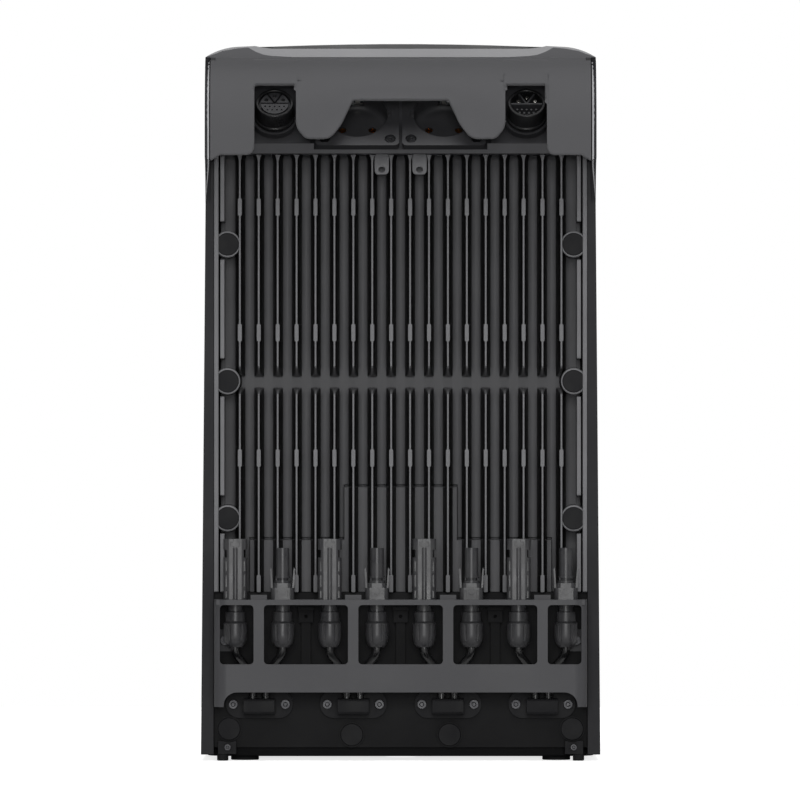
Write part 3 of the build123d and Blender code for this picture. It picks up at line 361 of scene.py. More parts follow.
def smooth(mesh: bpy.types.Mesh, angle_deg: float) -> None:
    """Shade every face smooth and mark the edges that are sharper than the angle."""
    mesh.polygons.foreach_set("use_smooth", np.ones(len(mesh.polygons), bool))
    work = bmesh.new()
    work.from_mesh(mesh)
    limit = math.radians(angle_deg)
    for edge in work.edges:
        edge.smooth = len(edge.link_faces) == 2 and edge.calc_face_angle(0.0) < limit
    work.to_mesh(mesh)
    work.free()
    mesh.update()


def surface(name: str, points: np.ndarray, around: bool = False, closed: bool = False,
            smooth_deg: float = 40.0) -> bpy.types.Object:
    """A piece from one grid of points with the shape (rows, columns, 3)."""
    rows, columns = points.shape[:2]
    return new_object(name, points.reshape(-1, 3), grid_faces(rows, columns, around, closed), smooth_deg)


def join_grids(name: str, grids: Sequence[tuple[np.ndarray, bool]],
               smooth_deg: float = 40.0) -> bpy.types.Object:
    """One piece from several grids, each with a mark that says whether its rows close round."""
    vertices, faces, start = [], [], 0
    for points, around in grids:
        rows, columns = points.shape[:2]
        vertices.append(points.reshape(-1, 3))
        faces.append(grid_faces(rows, columns, around) + start)
        start += rows * columns
    return new_object(name, np.concatenate(vertices), np.concatenate(faces), smooth_deg)


def softened(node: str, width_mm: float, segments: int = 2) -> bpy.types.Object:
    """A copy of a CAD node with its flat faces merged and its sharp edges rounded.

    Args:
        node: the CAD node that the copy is taken from.
        width_mm: how wide the rounding is.
        segments: how many faces it has.

    Returns:
        The new object, at the origin.
    """
    mesh = bpy.data.objects[node].data.copy()
    work = bmesh.new()
    work.from_mesh(mesh)
    bmesh.ops.remove_doubles(work, verts=work.verts, dist=2e-6)
    bmesh.ops.dissolve_limit(work, angle_limit=math.radians(0.4), verts=work.verts, edges=work.edges)
    work.to_mesh(mesh)
    work.free()
    clean = bpy.data.meshes.new(f"{node}_soft")
    counts = np.zeros(len(mesh.polygons), np.int32)
    mesh.polygons.foreach_get("loop_total", counts)
    corners = np.zeros(len(mesh.loops), np.int32)
    mesh.loops.foreach_get("vertex_index", corners)
    points = np.zeros(len(mesh.vertices) * 3, np.float32)
    mesh.vertices.foreach_get("co", points)
    rings = [ring.tolist() for ring in np.split(corners, np.cumsum(counts)[:-1])]
    clean.from_pydata(points.reshape(-1, 3).tolist(), [], rings)
    bpy.data.meshes.remove(mesh)
    smooth(clean, 30)
    thing = bpy.data.objects.new(f"{node}_soft", clean)
    bpy.context.scene.collection.objects.link(thing)
    bevel = thing.modifiers.new("rounded_edges", "BEVEL")
    bevel.width = width_mm * MM
    bevel.segments = segments
    bevel.limit_method = "ANGLE"
    bevel.angle_limit = math.radians(32)
    bevel.use_clamp_overlap = True
    bevel.harden_normals = False
    weight = thing.modifiers.new("even_shading", "WEIGHTED_NORMAL")
    weight.keep_sharp = True
    return thing


@dataclass
class Assembly:
    """A sub-assembly: it dresses pieces, makes them ride on a body and reports them."""

    body: str = "cabinet"
    made: list[str] = field(default_factory=list)

    def dress(self, piece: bpy.types.Object, finish: Finish, slot: str, *nodes: str) -> bpy.types.Object:
        """Give a new piece its finish and body, and hide the CAD nodes that it stands for.

        Args:
            piece: the new piece, in place.
            finish: its surface finish.
            slot: the record's material slot; not used.
            nodes: CAD nodes that it replaces.

        Returns:
            The piece.
        """
        piece.data.materials.clear()
        piece.data.materials.append(finish.make())
        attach(piece, self.body)
        if nodes:
            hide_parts(*nodes)
        self.made.append(piece.name)
        LOG.info("piece %s on %s: %d faces", piece.name, self.body, len(piece.data.polygons))
        return piece

    def paint(self, finish: Finish, *nodes: str) -> None:
        """Give CAD nodes that keep their shape a finish."""
        for node in nodes:
            thing = bpy.data.objects[node]
            thing.data.materials.clear()
            thing.data.materials.append(finish.make())
            LOG.info("node %s keeps its shape, with %s", node, finish.name)

    def soften(self, finish: Finish, slot: str, width_mm: float, *nodes: str) -> None:
        """Replace CAD nodes by copies with rounded edges, in a finish."""
        for node in nodes:
            self.dress(softened(node, width_mm), finish, slot, node)


# ---- heat sink ---------------------------------------------------------------------------------
@dataclass
class HeatSink(Assembly):
    """The finned casting: a relief over its root plane, with side strips, bosses and tapped pads."""

    pitch: float = 12.12 * MM
    fins_per_side: int = 9
    tip: float = 1.4 * MM
    root: float = 6.3 * MM
    pad: float = 3.2 * MM
    pad_height: float = 10.7 * MM
    pad_levels: tuple[float, ...] = (0.3547, 0.2742, 0.1939, 0.1134)
    gap: tuple[float, float] = (0.2388, 0.2460)
    gap_slope: tuple[float, float] = (3.5 * MM, 6.2 * MM)
    step_depth: float = 11.0 * MM
    slot_depth: float = 4.0 * MM
    boss: float = 8.5 * MM
    strip_inner: float = 112.8 * MM

    def build(self) -> None:
        """Make the casting from its fins, strips and bosses."""
        low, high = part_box("heat_sink")
        self.low, self.high = np.array(low), np.array(high)
        self.tip_y, self.back_y = self.low[1], self.high[1]
        self.floor_y = self.back_y - 6 * MM
        self.dress(self._fins(), Finishes.CAST, "sink_coat", "heat_sink")
        self.dress(self._strips(), Finishes.CAST, "sink_coat")
        self.dress(self._bosses(), Finishes.CAST, "sink_coat")
        self.dress(self._tapped_pads(), Finishes.CAST, "sink_coat")

    def _levels(self) -> np.ndarray:
        """Heights of the stations: close together where the relief changes, wide apart elsewhere."""
        low, high = self.low[2], self.high[2]
        marks = [low, high, *(self.gap[0] + d * MM for d in (-6, -4, -2.5, -1.2, -0.4, 0.4)),
                 *(self.gap[1] + d * MM for d in (-0.4, 0.4, 1.5, 3, 4.5, 6, 7.5))]
        for level in self.pad_levels:
            for side in (-1, 1):
                edge = level + side * self.pad_height / 2
                marks += [edge - 0.45 * MM, edge - 0.15 * MM, edge + 0.15 * MM, edge + 0.45 * MM]
        for step in (0.1412, 0.1751):
            marks += [step - 0.5 * MM, step, step + 0.3 * MM, step + 1.5 * MM, step + 1.8 * MM]
        near_top = (0.5, 1.1, 1.8, 2.6, 3.5, 4.4, 6, 10, 16, 24, 32)
        marks += list(np.linspace(low, high, 30)) + [high - drop * MM for drop in near_top]
        marks = np.unique(np.clip(np.array(marks), low, high).round(6))
        return marks

    def _fins(self) -> bpy.types.Object:
        """The relief between the strips: Y as a function of X and Z, in one grid.

        Each fin is a trapezoid whose half width grows from its tip to its root, with a rounded tip and a
        rounded root; across the gap the tip sinks to the root plane, at a pad the tip widens in a step, and
        just below the deck each fin flares out with the square of the height.
        """
        z = self._levels()[:, None]
        count = 2 * self.fins_per_side
        middles = (np.arange(count) - self.fins_per_side + 0.5) * self.pitch
        across = np.array([-1.35, -1.12, -1.0, -0.86, -0.55, -0.22, -0.12, -0.06, 0, 0.06, 0.12, 0.22, 0.55, 0.86,
                           1.0, 1.12, 1.35])
        rise = self._rise(z)
        pad = self._pad(z)
        flare = np.clip((z - (self.high[2] - 5 * MM)) / (5 * MM), 0, 1) ** 2
        half_tip = self.tip / 2 + (self.pad - self.tip) / 2 * pad + 1.5 * MM * flare
        half_root = self.root / 2 + 0.9 * MM * flare
        columns_x, columns_y = [], []
        top = self._top_ramp(z)
        for middle in middles:
            floor = self.floor_y - self._step(middle, z) - top
            depth = (floor - self.tip_y) * rise
            for place in across:
                side, reach = np.sign(place), abs(place)
                if reach > 1.0:
                    x = middle + side * (half_root + (reach - 1.0) * (self.pitch / 2 - half_root) * 2.6)
                    height = np.where(reach < 1.2, 0.015, 0.0)
                elif reach > 0.22:
                    climb = (1.0 - reach) / 0.78
                    x = middle + side * (half_root + (half_tip - half_root) * climb)
                    height = 0.035 + 0.94 * climb
                else:
                    lean = reach / 0.22
                    x = middle + side * half_tip * np.sin(lean * np.pi / 2) ** 0.9
                    height = 1.0 - 0.025 * lean ** 3
                columns_x.append(np.broadcast_to(x, z.shape))
                columns_y.append(floor - depth * height)
        x = np.concatenate(columns_x, axis=1)
        y = np.concatenate(columns_y, axis=1)
        edge = np.full_like(z, self.strip_inner)
        x = np.concatenate([-edge, -edge, x, edge, edge], axis=1)
        back = np.full_like(z, self.back_y)
        y = np.concatenate([back, y[:, :1], y, y[:, -1:], back], axis=1)
        zz = np.broadcast_to(z, x.shape)
        front = np.stack([x, y, zz], axis=2)
        rear_wall = np.stack([np.linspace(self.strip_inner, -self.strip_inner, 6)[None, :].repeat(len(z), 0),
                              np.full((len(z), 6), self.back_y), np.broadcast_to(z, (len(z), 6))], axis=2)
        whole = np.concatenate([front, rear_wall[:, 1:-1]], axis=1)
        piece = surface("cooling_fins", whole, around=True, smooth_deg=38)
        return closed_ends(piece)

    def _rise(self, z: np.ndarray) -> np.ndarray:
        """How much of its height a fin has at each level: none in the gap, with sloped ends."""
        below = np.clip((self.gap[0] - z) / self.gap_slope[0], 0, 1)
        above = np.clip((z - self.gap[1]) / self.gap_slope[1], 0, 1)
        return np.where(z < sum(self.gap) / 2, below, above)

    def _pad(self, z: np.ndarray) -> np.ndarray:
        """One on the ejector pads and nothing between them, with a short ramp."""
        weight = np.zeros_like(z)
        for level in self.pad_levels:
            inside = self.pad_height / 2 + 0.3 * MM - abs(z - level)
            weight = np.maximum(weight, np.clip(inside / (0.6 * MM), 0, 1))
        return weight

    def _step(self, x: float, z: np.ndarray) -> np.ndarray:
        """The raised floors low on the casting, higher in the middle, with a narrow slot above their edge."""
        level = 0.1751 if abs(x) < 40.3 * MM else (0.1412 if abs(x) < 98 * MM else 0.0)
        slot = (z > level + 0.05 * MM) & (z < level + 1.7 * MM) & (level > 0)
        return np.where(z < level + 0.1 * MM, self.step_depth, np.where(slot, -self.slot_depth, 0.0))

    def _top_ramp(self, z: np.ndarray) -> np.ndarray:
        """The root plane comes forward near the top, in a quarter wave, and curls out at the edge."""
        ramp = np.clip((z - (self.high[2] - 30 * MM)) / (30 * MM), 0, 1)
        curl = np.clip((z - (self.high[2] - 3 * MM)) / (3 * MM), 0, 1)
        return 6 * MM * ramp ** 2 + 5 * MM * curl ** 2

    def _strips(self) -> bpy.types.Object:
        """The side strips: a rounded bar each side, split by a groove, and interrupted round the plugs."""
        grids = []
        plugs = (0.3309, 0.2431, 0.1553)
        for side in (-1, 1):
            grids.append((self._bar(side, 116.6, 119.6, self.low[2], self.high[2], self.tip_y), True))
            stops = [self.low[2], *sorted(p + d * MM for p in plugs for d in (-9.8, 14.5)), self.high[2]]
            for low, high in zip(stops[::2], stops[1::2]):
                grids.append((self._bar(side, 112.8, 115.6, low, high, self.tip_y), True))
            for low, high in zip(stops[1:-1:2], stops[2:-1:2]):
                grids.append((self._bar(side, 112.8, 115.6, low, high, self.floor_y - 2 * MM), True))
        piece = join_grids("side_strips", [(g, a) for g, a in grids], 45)
        return closed_ends(piece)

    def _bar(self, side: int, near: float, far: float, low: float, high: float, tip: float) -> np.ndarray:
        """An upright bar with a rounded rear edge: a rounded section carried up in Z."""
        turn = np.linspace(0, np.pi, 9)
        middle, half = (near + far) / 2 * MM, (far - near) / 2 * MM
        x = np.concatenate([[middle - half], middle - half * np.cos(turn), [middle + half]])
        y = np.concatenate([[self.back_y], tip + 0.5 * MM * (1 - np.sin(turn) ** 0.7), [self.back_y]])
        z = np.array([low, low + 0.6 * MM, high - 0.6 * MM, high])
        lift = np.array([0.8 * MM, 0, 0, 0.8 * MM])
        yy = np.where(y[None, :] < self.back_y - MM, y[None, :] + lift[:, None], y[None, :])
        return np.stack([side * x[None, :].repeat(4, 0), yy, z[:, None].repeat(len(x), 1)], axis=2)

    def _bosses(self) -> bpy.types.Object:
        """Round bosses under the side plugs: a turned profile with a rounded rim and a dished seat."""
        grids = []
        radius = np.array([self.boss + 1.2 * MM, self.boss + 0.3 * MM, self.boss, self.boss, self.boss - 0.25 * MM,
                           self.boss - 0.7 * MM, 7.35 * MM, 7.35 * MM, 0.1 * MM])
        y = self.tip_y + np.array([34, 31.6, 28, 2.0, 1.3, 1.0, 1.0, 3.0, 3.0]) * MM
        for side in (-1, 1):
            for level in (0.3309, 0.2431, 0.1553):
                grids.append((turned(radius, y, side * 110.9 * MM, level), True))
        return join_grids("plug_bosses", grids, 40)

    def _tapped_pads(self) -> bpy.types.Object:
        """Two flat pads with a countersunk hole: rounded rectangles that shrink to a circle."""
        grids = []
        for side in (-1, 1):
            grids.append((self._tapped_pad(side * 12.1 * MM), True))
        return join_grids("tapped_pads", grids, 35)

    def _tapped_pad(self, x: float) -> np.ndarray:
        """Rings from the pad's foot over its rounded lower corners to the hole's bottom."""
        turn = np.linspace(0, 2 * np.pi, 48, endpoint=False)
        half_x, half_z, middle_z = 4.7 * MM, 6.8 * MM, self.high[2] - 6.8 * MM + 1.0 * MM
        power = 5.0
        round_x = np.sign(np.cos(turn)) * abs(np.cos(turn)) ** (2 / power) * half_x
        round_z = np.sign(np.sin(turn)) * abs(np.sin(turn)) ** (2 / power) * half_z
        hole_z = 0.3789 - middle_z
        rings = []
        for scale, y in ((1.0, self.floor_y), (1.0, self.tip_y + 0.5 * MM), (0.975, self.tip_y + 0.1 * MM),
                         (0.93, self.tip_y)):
            rings.append(np.stack([x + round_x * scale, np.full(48, y), middle_z + round_z * scale], axis=1))
        for radius, y in ((2.3 * MM, self.tip_y), (1.7 * MM, self.tip_y + 0.6 * MM), (1.7 * MM, self.tip_y + 9 * MM),
                          (0.05 * MM, self.tip_y + 9.5 * MM)):
            rings.append(np.stack([x + np.cos(turn) * radius, np.full(48, y),
                                   middle_z + hole_z + np.sin(turn) * radius], axis=1))
        return np.stack(rings)


def turned(radius: np.ndarray, y: np.ndarray, x: float, z: float, steps: int = 40) -> np.ndarray:
    """A profile of radius against Y, turned round an axis along Y through x and z."""
    turn = np.linspace(0, 2 * np.pi, steps, endpoint=False)[None, :]
    r = radius[:, None]
    level = np.broadcast_to(y[:, None], (len(y), steps))
    return np.stack([x + r * np.cos(turn), level, z + r * np.sin(turn)], axis=2)


def closed_ends(piece: bpy.types.Object) -> bpy.types.Object:
    """Fill the open ends of a swept piece and set its normals outwards again."""
    work = bmesh.new()
    work.from_mesh(piece.data)
    bmesh.ops.holes_fill(work, edges=[e for e in work.edges if e.is_boundary], sides=0)
    ends = [f for f in work.faces if len(f.verts) > 4]
    bmesh.ops.triangulate(work, faces=ends)
    bmesh.ops.recalc_face_normals(work, faces=work.faces)
    work.to_mesh(piece.data)
    work.free()
    smooth(piece.data, 38)
    return piece


# ---- rain hood ---------------------------------------------------------------------------------
def sampled(points: np.ndarray, count: int) -> np.ndarray:
    """Points at equal steps along a broken line."""
    steps = np.linalg.norm(np.diff(points, axis=0), axis=1)
    length = np.concatenate([[0], np.cumsum(steps)])
    at = np.linspace(0, length[-1], count)
    return np.stack([np.interp(at, length, points[:, axis]) for axis in range(points.shape[1])], axis=1)


def rounded(points: Sequence[tuple[float, float]], radii: Sequence[float], steps: int = 7) -> np.ndarray:
    """A broken line whose corners are rounded by arcs.

    Args:
        points: the corners in order.
        radii: the radius at each inner corner.
        steps: points on each arc.

    Returns:
        The points of the rounded line.
    """
    corners = np.array(points, float)
    line = [corners[0]]
    for before, corner, after, radius in zip(corners[:-2], corners[1:-1], corners[2:], radii):
        one, two = (before - corner), (after - corner)
        one, two = one / np.linalg.norm(one), two / np.linalg.norm(two)
        turn = math.acos(np.clip(one @ two, -1, 1))
        if radius <= 0 or turn > math.radians(179):
            line.append(corner)
            continue
        reach = radius / math.tan(turn / 2)
        reach = min(reach, 0.49 * np.linalg.norm(before - corner), 0.49 * np.linalg.norm(after - corner))
        start, end = corner + one * reach, corner + two * reach
        blend = np.linspace(0, 1, steps)[:, None]
        line.extend((1 - blend) ** 2 * start + 2 * blend * (1 - blend) * corner + blend ** 2 * end)
    line.append(corners[-1])
    return np.array(line)


@dataclass
class RainHood(Assembly):
    """The soft hood over the connection deck: one curved skin with a rolled lower edge."""

    body: str = "rain_flap"
    thick: float = 2.4 * MM
    half_width: float = 121.5 * MM
    lip_roll: float = 1.1 * MM
    dish: float = 3.6 * MM
    columns: int = 620
    rows: int = 46
    hinge: tuple[float, float] = (-0.113, 0.4474)

    def build(self) -> None:
        """Make the skin and its hinge bead."""
        low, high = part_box("rain_flap")
        self.rear_y, self.bottom, self.top = low[1], low[2], high[2]
        self.dress(self._skin(), Finishes.HOOD, "flap_rubber", "rain_flap")
        self.dress(self._bead(), Finishes.HOOD, "flap_rubber")

    def _edge(self) -> np.ndarray:
        """The lower edge, left to right: pockets for the round connectors, and the outlets' opening."""
        half = [(0, 423.7), (31.2, 423.7), (38.6, 407.7), (45.5, 398.8), (60.2, 398.8), (65.7, 405.5),
                (65.7, 433.6), (94.5, 433.6), (94.5, 388.5), (115.6, 388.5), (121.6, 384.7)]
        radii = [3.2, 30.0, 9.0, 5.0, 9.0, 3.6, 3.6, 4.5, 3.0]
        right = rounded(half, radii, 11) * MM
        left = right[::-1] * np.array([-1, 1])
        return np.concatenate([left[:-1], right])

    def _profile(self, z: np.ndarray) -> np.ndarray:
        """The skin's Y at each height: upright below, then an arc that leans forward to the hinge."""
        bend = 0.404
        climb = np.clip((z - bend) / (self.top - 1.2 * MM - bend), 0, 1)
        return self.rear_y + (1 - np.sqrt(1 - (climb * 0.985) ** 2.25)) * 31.5 * MM

    def _skin(self) -> bpy.types.Object:
        """Rows carried from the lower edge to the hinge line, folded round the edge to the inner face.

        The place on a row follows the edge's length; each point moves straight from the edge to the
        hinge line, and the skin sinks a little beside the outlets' opening, as a Gaussian of the distance.
        """
        edge = sampled(self._edge(), self.columns)
        share = (edge[:, 0] + self.half_width) / (2 * self.half_width)
        top_x = (share * 2 - 1) * self.half_width
        rise = np.linspace(0, 1, self.rows) ** 1.25
        x = edge[None, :, 0] + (top_x - edge[:, 0])[None, :] * rise[:, None]
        z = edge[None, :, 1] + (self.top - 0.2 * MM - edge[:, 1])[None, :] * rise[:, None]
        y = self._profile(z) + self._dent(x, z)
        outer = np.stack([x, y, z], axis=2)
        normal = surface_normals(outer)
        normal *= np.sign(-normal[..., 1:2])
        inward = outer - normal * self.thick
        across = np.gradient(edge, axis=0)
        outward = np.stack([across[:, 1], np.zeros(len(edge)), -across[:, 0]], axis=1)
        outward /= np.maximum(np.linalg.norm(outward, axis=1, keepdims=True), 1e-9)
        fold = []
        for turn in np.linspace(np.pi, 0, 7)[1:-1]:
            middle = (outer[0] + inward[0]) / 2
            swing = (outer[0] - inward[0]) / 2
            fold.append(middle + swing * np.cos(turn) + outward * self.lip_roll * np.sin(turn))
        rows = [inward[::-1], np.stack(fold), outer]
        return closed_ends(surface("rain_hood", np.concatenate(rows), smooth_deg=60))

    def _dent(self, x: np.ndarray, z: np.ndarray) -> np.ndarray:
        """How far the skin sinks inwards beside the opening, and swells above it."""
        side = (abs(x) - 41 * MM) / (17 * MM)
        level = (z - 0.410) / (17 * MM)
        hollow = self.dish * np.exp(-side ** 2 - level ** 2)
        hollow = hollow * np.clip((0.4474 - z) / (12 * MM), 0, 1)
        brow = 1.2 * MM * np.exp(-((abs(x)) / (34 * MM)) ** 4 - ((z - 0.4262) / (5 * MM)) ** 2)
        return hollow + brow

    def _bead(self) -> bpy.types.Object:
        """The round bead along the hinge, with rounded ends."""
        turn = np.linspace(0, 2 * np.pi, 28, endpoint=False)
        reach = np.array([-1, -1, -0.995, -0.985, 0.985, 0.995, 1, 1]) * 118.0 * MM
        radius = np.array([1.35, 2.3, 2.8, 2.95, 2.95, 2.8, 2.3, 1.35]) * MM
        y = self.hinge[0] + radius[:, None] * np.cos(turn)
        z = self.hinge[1] + radius[:, None] * np.sin(turn)
        x = np.broadcast_to(reach[:, None], y.shape)
        return closed_ends(surface("hood_bead", np.stack([x, y, z], axis=2), around=True, smooth_deg=50))


def surface_normals(points: np.ndarray) -> np.ndarray:
    """Unit normals of a grid of points, from the slopes along its rows and columns."""
    along = np.gradient(points, axis=1)
    up = np.gradient(points, axis=0)
    normal = np.cross(along, up)
    return normal / np.maximum(np.linalg.norm(normal, axis=2, keepdims=True), 1e-12)


# ---- the rest of the tower, softened from its CAD shape ------------------------------------------
@dataclass
class Case(Assembly):
    """The wrap, the lid, the tray, the lower panel and the plugs; the lid's rear face leans forward."""

    lid_rear: float = -111.0
    lid_lean: float = 7.5 / 14.4

    def build(self) -> None:
        """Round the edges of the housings and dress the small parts."""
        self.soften(Finishes.CASE, "case_paint", 0.7, "outer_shell")
        self.soften(Finishes.LID, "case_paint", 0.5, "top_cap")
        self.soften(Finishes.PANEL, "panel_coat", 0.5, "connection_plate")
        self.soften(Finishes.TRAY, "dark_plastic", 0.8, "bottom_tray")
        self.soften(Finishes.PLUG, "plug_plastic", 0.35, "screw_plugs", "foot_tabs")
        self.soften(Finishes.SCREW, "black_screw", 0.25, "foot_screws")
        self.soften(Finishes.RUBBER, "seal_rubber", 0.5, "feet")
        self.soften(Finishes.LIGHT_BAR, "light_bar", 0.3, "light_guide")
        self.paint(Finishes.RUBBER, "case_gasket")
        self.dress(self._cheek_edges(), Finishes.EDGE_HIGHLIGHT, "case_paint")
        self.dress(self._lid_corners(), Finishes.HOOD, "case_paint")

    def _cheek_edges(self) -> bpy.types.Object:
        """The rounded edge of both cheeks, painted bright as a highlight: a quarter circle carried along the side's
        profile.
        """
        sweep = arc_points((-106.0, 357.0), (-115.0, 374.0), (-139.5, 385.0), 16)
        lean = arc_points((-139.5, 405.0), (-132.5, 431.0), (-111.0, 450.4), 16)
        profile = np.concatenate([sweep, np.linspace((-139.5, 385.0), (-139.5, 405.0), 8)[1:-1], lean]) * MM
        along = np.gradient(profile, axis=0)
        outward = np.stack([-along[:, 1], along[:, 0]], axis=1)
        outward /= np.linalg.norm(outward, axis=1, keepdims=True)
        taper = np.clip((profile[:, 1] - 0.357) / (26 * MM), 0.06, 1)[:, None]
        turn = np.linspace(0, np.pi / 2, 7)[None, :]
        reach = 0.12 * MM - (1 - np.cos(turn)) * 1.5 * MM
        x = 125.08 * MM - (1 - np.sin(turn)) * 2.7 * MM * taper
        y = profile[:, 0][:, None] + outward[:, 0][:, None] * reach
        z = profile[:, 1][:, None] + outward[:, 1][:, None] * reach
        grids = [(np.stack([side * x, y, z], axis=2), False) for side in (-1, 1)]
        return join_grids("cheek_edges", grids, 60)

    def _lid_corners(self) -> bpy.types.Object:
        """The hood's skin that runs up the lid at both rear corners: rows between its two border lines."""
        places = np.array([70, 82.3, 87.7, 92.7, 97.7, 105.4, 114.2, 119.2, 124.2])
        borders = np.array([450.75, 451.4, 452.2, 454.1, 456.9, 456.2, 454.6, 452.6, 450.95])
        x = np.linspace(70, 124.2, 60)
        upper = np.interp(x, places, borders)
        share = np.linspace(0, 1, 8)[:, None]
        z = 450.3 + (upper[None, :] - 450.3) * share
        swell = 0.22 * np.sin(np.pi * np.clip(share * 0.9 + 0.1, 0, 1)) ** 0.3
        y = self.lid_rear + (z - 450.6) * self.lid_lean - swell
        x = np.broadcast_to(x[None, :], z.shape)
        grids = [(np.stack([side * x, y, z], axis=2) * MM, False) for side in (-1, 1)]
        return join_grids("lid_corners", grids, 60)


def arc_points(start: tuple, through: tuple, end: tuple, steps: int) -> np.ndarray:
    """Points at equal turns on the circle through three points of a plane."""
    a, b, c = (np.array(p, float) for p in (start, through, end))
    sides = 2 * np.array([b - a, c - a])
    centre = np.linalg.solve(sides, [b @ b - a @ a, c @ c - a @ a])
    first, middle, last = (math.atan2(*(p - centre)[::-1]) for p in (a, b, c))
    span = (last - first + math.pi) % (2 * math.pi) - math.pi
    if not 0 < ((middle - first) / span if abs(middle - first) < math.pi else 0.5) < 1:
        span -= math.copysign(2 * math.pi, span)
    turn = first + np.linspace(0, 1, steps) * span
    return centre + np.linalg.norm(a - centre) * np.stack([np.cos(turn), np.sin(turn)], axis=1)


@dataclass
class Deck(Assembly):
    """The connection deck with its mains outlets and round connectors."""

    def build(self) -> None:
        """Round the edges of the moulded parts and dress the metal ones."""
        self.soften(Finishes.DECK, "deck_plastic", 0.5, "socket_deck", "grid_collars")
        self.soften(Finishes.OUTLET, "outlet_plastic", 0.45, "outlet_left", "outlet_right")
        self.soften(Finishes.HOUSING, "outlet_plastic", 0.5, "grid_outlet_housing", "grid_inlet_housing")
        self.soften(Finishes.INSERT, "insert_plastic", 0.2, "grid_inserts")
        self.soften(Finishes.NICKEL, "nickel", 0.15, "outlet_earth_clips", "grid_contacts")
        self.soften(Finishes.SCREW, "black_screw", 0.25, "outlet_screws")
        self.paint(Finishes.BRASS, "outlet_contacts")
        self.paint(Finishes.NICKEL, "flap_hinge_rod")


@dataclass
class Guard(Assembly):
    """The bent guard and its screws."""

    def build(self) -> None:
        """Round the guard's cut edges."""
        self.soften(Finishes.GUARD, "guard_coat", 0.45, "guard_bracket")
        self.soften(Finishes.SCREW, "black_screw", 0.3, "guard_screws")


@dataclass
class Solar(Assembly):
    """The eight solar connectors with their leads and outlet blocks."""

    def build(self) -> None:
        """Dress the connectors, gland nuts, leads and blocks."""
        for number in range(1, 5):
            self.soften(Finishes.CONNECTOR, "connector_plastic", 0.35,
                        f"pv_socket_{number}", f"pv_plug_{number}")
        self.soften(Finishes.CONNECTOR, "connector_plastic", 0.3, "pv_gland_nuts")
        self.soften(Finishes.PLUG, "deck_plastic", 0.5, "lead_outlets")
        self.soften(Finishes.SCREW, "black_screw", 0.25, "lead_outlet_screws")
        self.paint(Finishes.TIN, "pv_contacts")
        for number in range(1, 9):
            self.paint(Finishes.JACKET, f"pv_lead_{number}")


@dataclass
class Inside(Assembly):
    """What the case hides: cells, boards and power parts."""

    def build(self) -> None:
        """Dress each inner part."""
        self.paint(Finishes.STEEL, "chassis_plate")
        self.paint(Finishes.CELL, "battery_cells")
        self.paint(Finishes.TRAY, "cell_frames")
        self.paint(Finishes.ALLOY, "cell_terminals", "busbars")
        self.paint(Finishes.BOARD, "bms_board", "inverter_board", "button_board")
        self.paint(Finishes.COMPOUND, "power_modules", "magnetics")
        self.paint(Finishes.SILICONE, "thermal_pad")
        self.paint(Finishes.SLEEVE, "bus_capacitors")
        self.paint(Finishes.STEEL, "button_spring")


@dataclass
class PushButton(Assembly):
    """The power button on the front."""

    body: str = "power_button"

    def build(self) -> None:
        """Round the button's cap."""
        self.soften(Finishes.BUTTON, "button_plastic", 0.5, "power_button")


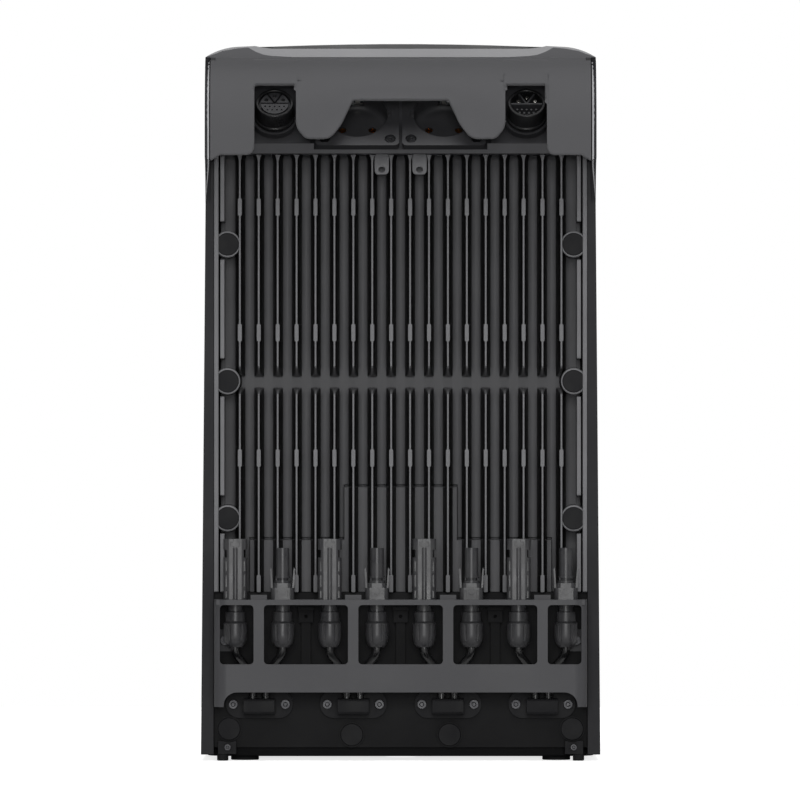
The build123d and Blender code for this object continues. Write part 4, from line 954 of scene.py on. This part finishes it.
# ---- studio ------------------------------------------------------------------------------------
@dataclass
class Studio:
    """A pale floor, soft lights and a long lens square to the rear face."""

    field_m: float = 0.512
    lens_mm: float = 600.0
    plane_y: float = -0.115
    centre_x: float = -0.0004
    centre_z: float = 0.2311
    floor_lift: float = 0.75

    def build(self) -> None:
        """Set the floor, the lights, the world and the camera."""
        self._floor()
        self._world()
        self._light("high_key", (0.0, -5.5, 0.95), (0, 0, 0.25), 1.8, 135.0)
        self._light("front_fill", (0.0, -9.6, 0.5), (0, 0, 0.25), 1.4, 40.0)
        self._light("top_soft", (0.0, -1.3, 2.4), (0, 0, 0.3), 1.6, 46.0)
        self._light("left_strip", (-2.2, -0.9, 0.9), (0, 0, 0.25), 1.0, 10.0)
        self._light("right_strip", (2.2, -0.9, 0.9), (0, 0, 0.25), 1.0, 10.0)
        self._light("back_fill", (0.6, 4.0, 1.8), (0, 0, 0.25), 2.5, 60.0)
        self._camera()

    def _floor(self) -> None:
        """A wide pale disc at the level of the feet."""
        radius = np.array([0.01, 0.5, 1.0, 1.4])
        turn = np.linspace(0, 2 * np.pi, 64, endpoint=False)
        points = np.stack([radius[:, None] * np.cos(turn), radius[:, None] * np.sin(turn),
                           np.full((4, 64), -0.0002)], axis=2)
        floor = surface("studio_floor", points, around=True)
        finish = Finish("pale_matte_floor", "f4f4f4", "f8f8f8", 0.9, grain=Grain.SMOOTH, grain_mm=40,
                        relief_mm=0.01, patch_mm=900, specular=0.1)
        material = finish.make()
        self._glow(material)
        floor.data.materials.append(material)

    def _glow(self, material: bpy.types.Material) -> None:
        """Lift the floor to the white of the surround for the camera only; it lights nothing."""
        tree = material.node_tree
        shader = next(node for node in tree.nodes if node.type == "BSDF_PRINCIPLED")
        seen = add_node(tree, "ShaderNodeLightPath").outputs["Is Camera Ray"]
        lift = add_node(tree, "ShaderNodeMath", {"operation": "MULTIPLY"}, {0: seen, 1: self.floor_lift})
        shader.inputs["Emission Color"].default_value = (1.0, 1.0, 1.0, 1.0)
        tree.links.new(lift.outputs["Value"], shader.inputs["Emission Strength"])

    def _world(self) -> None:
        """A white surround that the camera sees in full and that lights the tower a little."""
        world = bpy.data.worlds.new("surround")
        world.use_nodes = True
        tree = world.node_tree
        tree.nodes.clear()
        seen = add_node(tree, "ShaderNodeLightPath").outputs["Is Camera Ray"]
        strength = add_node(tree, "ShaderNodeMapRange", {}, {"Value": seen, "To Min": 0.035, "To Max": 1.0})
        light = add_node(tree, "ShaderNodeBackground", {}, {
            "Color": (1.0, 1.0, 1.0, 1.0), "Strength": strength.outputs["Result"]})
        add_node(tree, "ShaderNodeOutputWorld", {}, {"Surface": light.outputs["Background"]})
        bpy.context.scene.world = world
        bpy.context.scene.view_settings.view_transform = "Standard"

    def _light(self, name: str, place: tuple, aim: tuple, size: float, power: float) -> None:
        """A square soft light that looks at a point."""
        lamp = bpy.data.lights.new(name, "AREA")
        lamp.size = size
        lamp.energy = power
        thing = bpy.data.objects.new(name, lamp)
        thing.location = place
        thing.rotation_euler = (Vector(aim) - Vector(place)).to_track_quat("-Z", "Y").to_euler()
        bpy.context.scene.collection.objects.link(thing)

    def _camera(self) -> None:
        """A long lens, level and square to the rear face."""
        lens = bpy.data.cameras.new("camera")
        lens.lens = self.lens_mm
        lens.sensor_width = 36.0
        lens.clip_end = 60.0
        distance = self.field_m * self.lens_mm / lens.sensor_width
        thing = bpy.data.objects.new("camera", lens)
        thing.location = (self.centre_x, self.plane_y - distance, self.centre_z)
        thing.rotation_euler = (math.pi / 2, 0, 0)
        bpy.context.scene.collection.objects.link(thing)
        bpy.context.scene.camera = thing


def main() -> None:
    """Load the frame, build every sub-assembly over it, and set the studio."""
    logging.basicConfig(level=logging.INFO, format="%(name)s: %(message)s")
    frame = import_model()
    joints = {joint["name"]: joint for joint in frame["joints"]}
    hinge = joints["flap_hinge"]["pos_m"]
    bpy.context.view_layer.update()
    hood = RainHood(hinge=(hinge[1], hinge[2]))
    for part in (HeatSink(), hood, Case(), Deck(), Guard(), Solar(), Inside(), PushButton()):
        part.build()
    Studio().build()


if __name__ == "__main__":
    main()
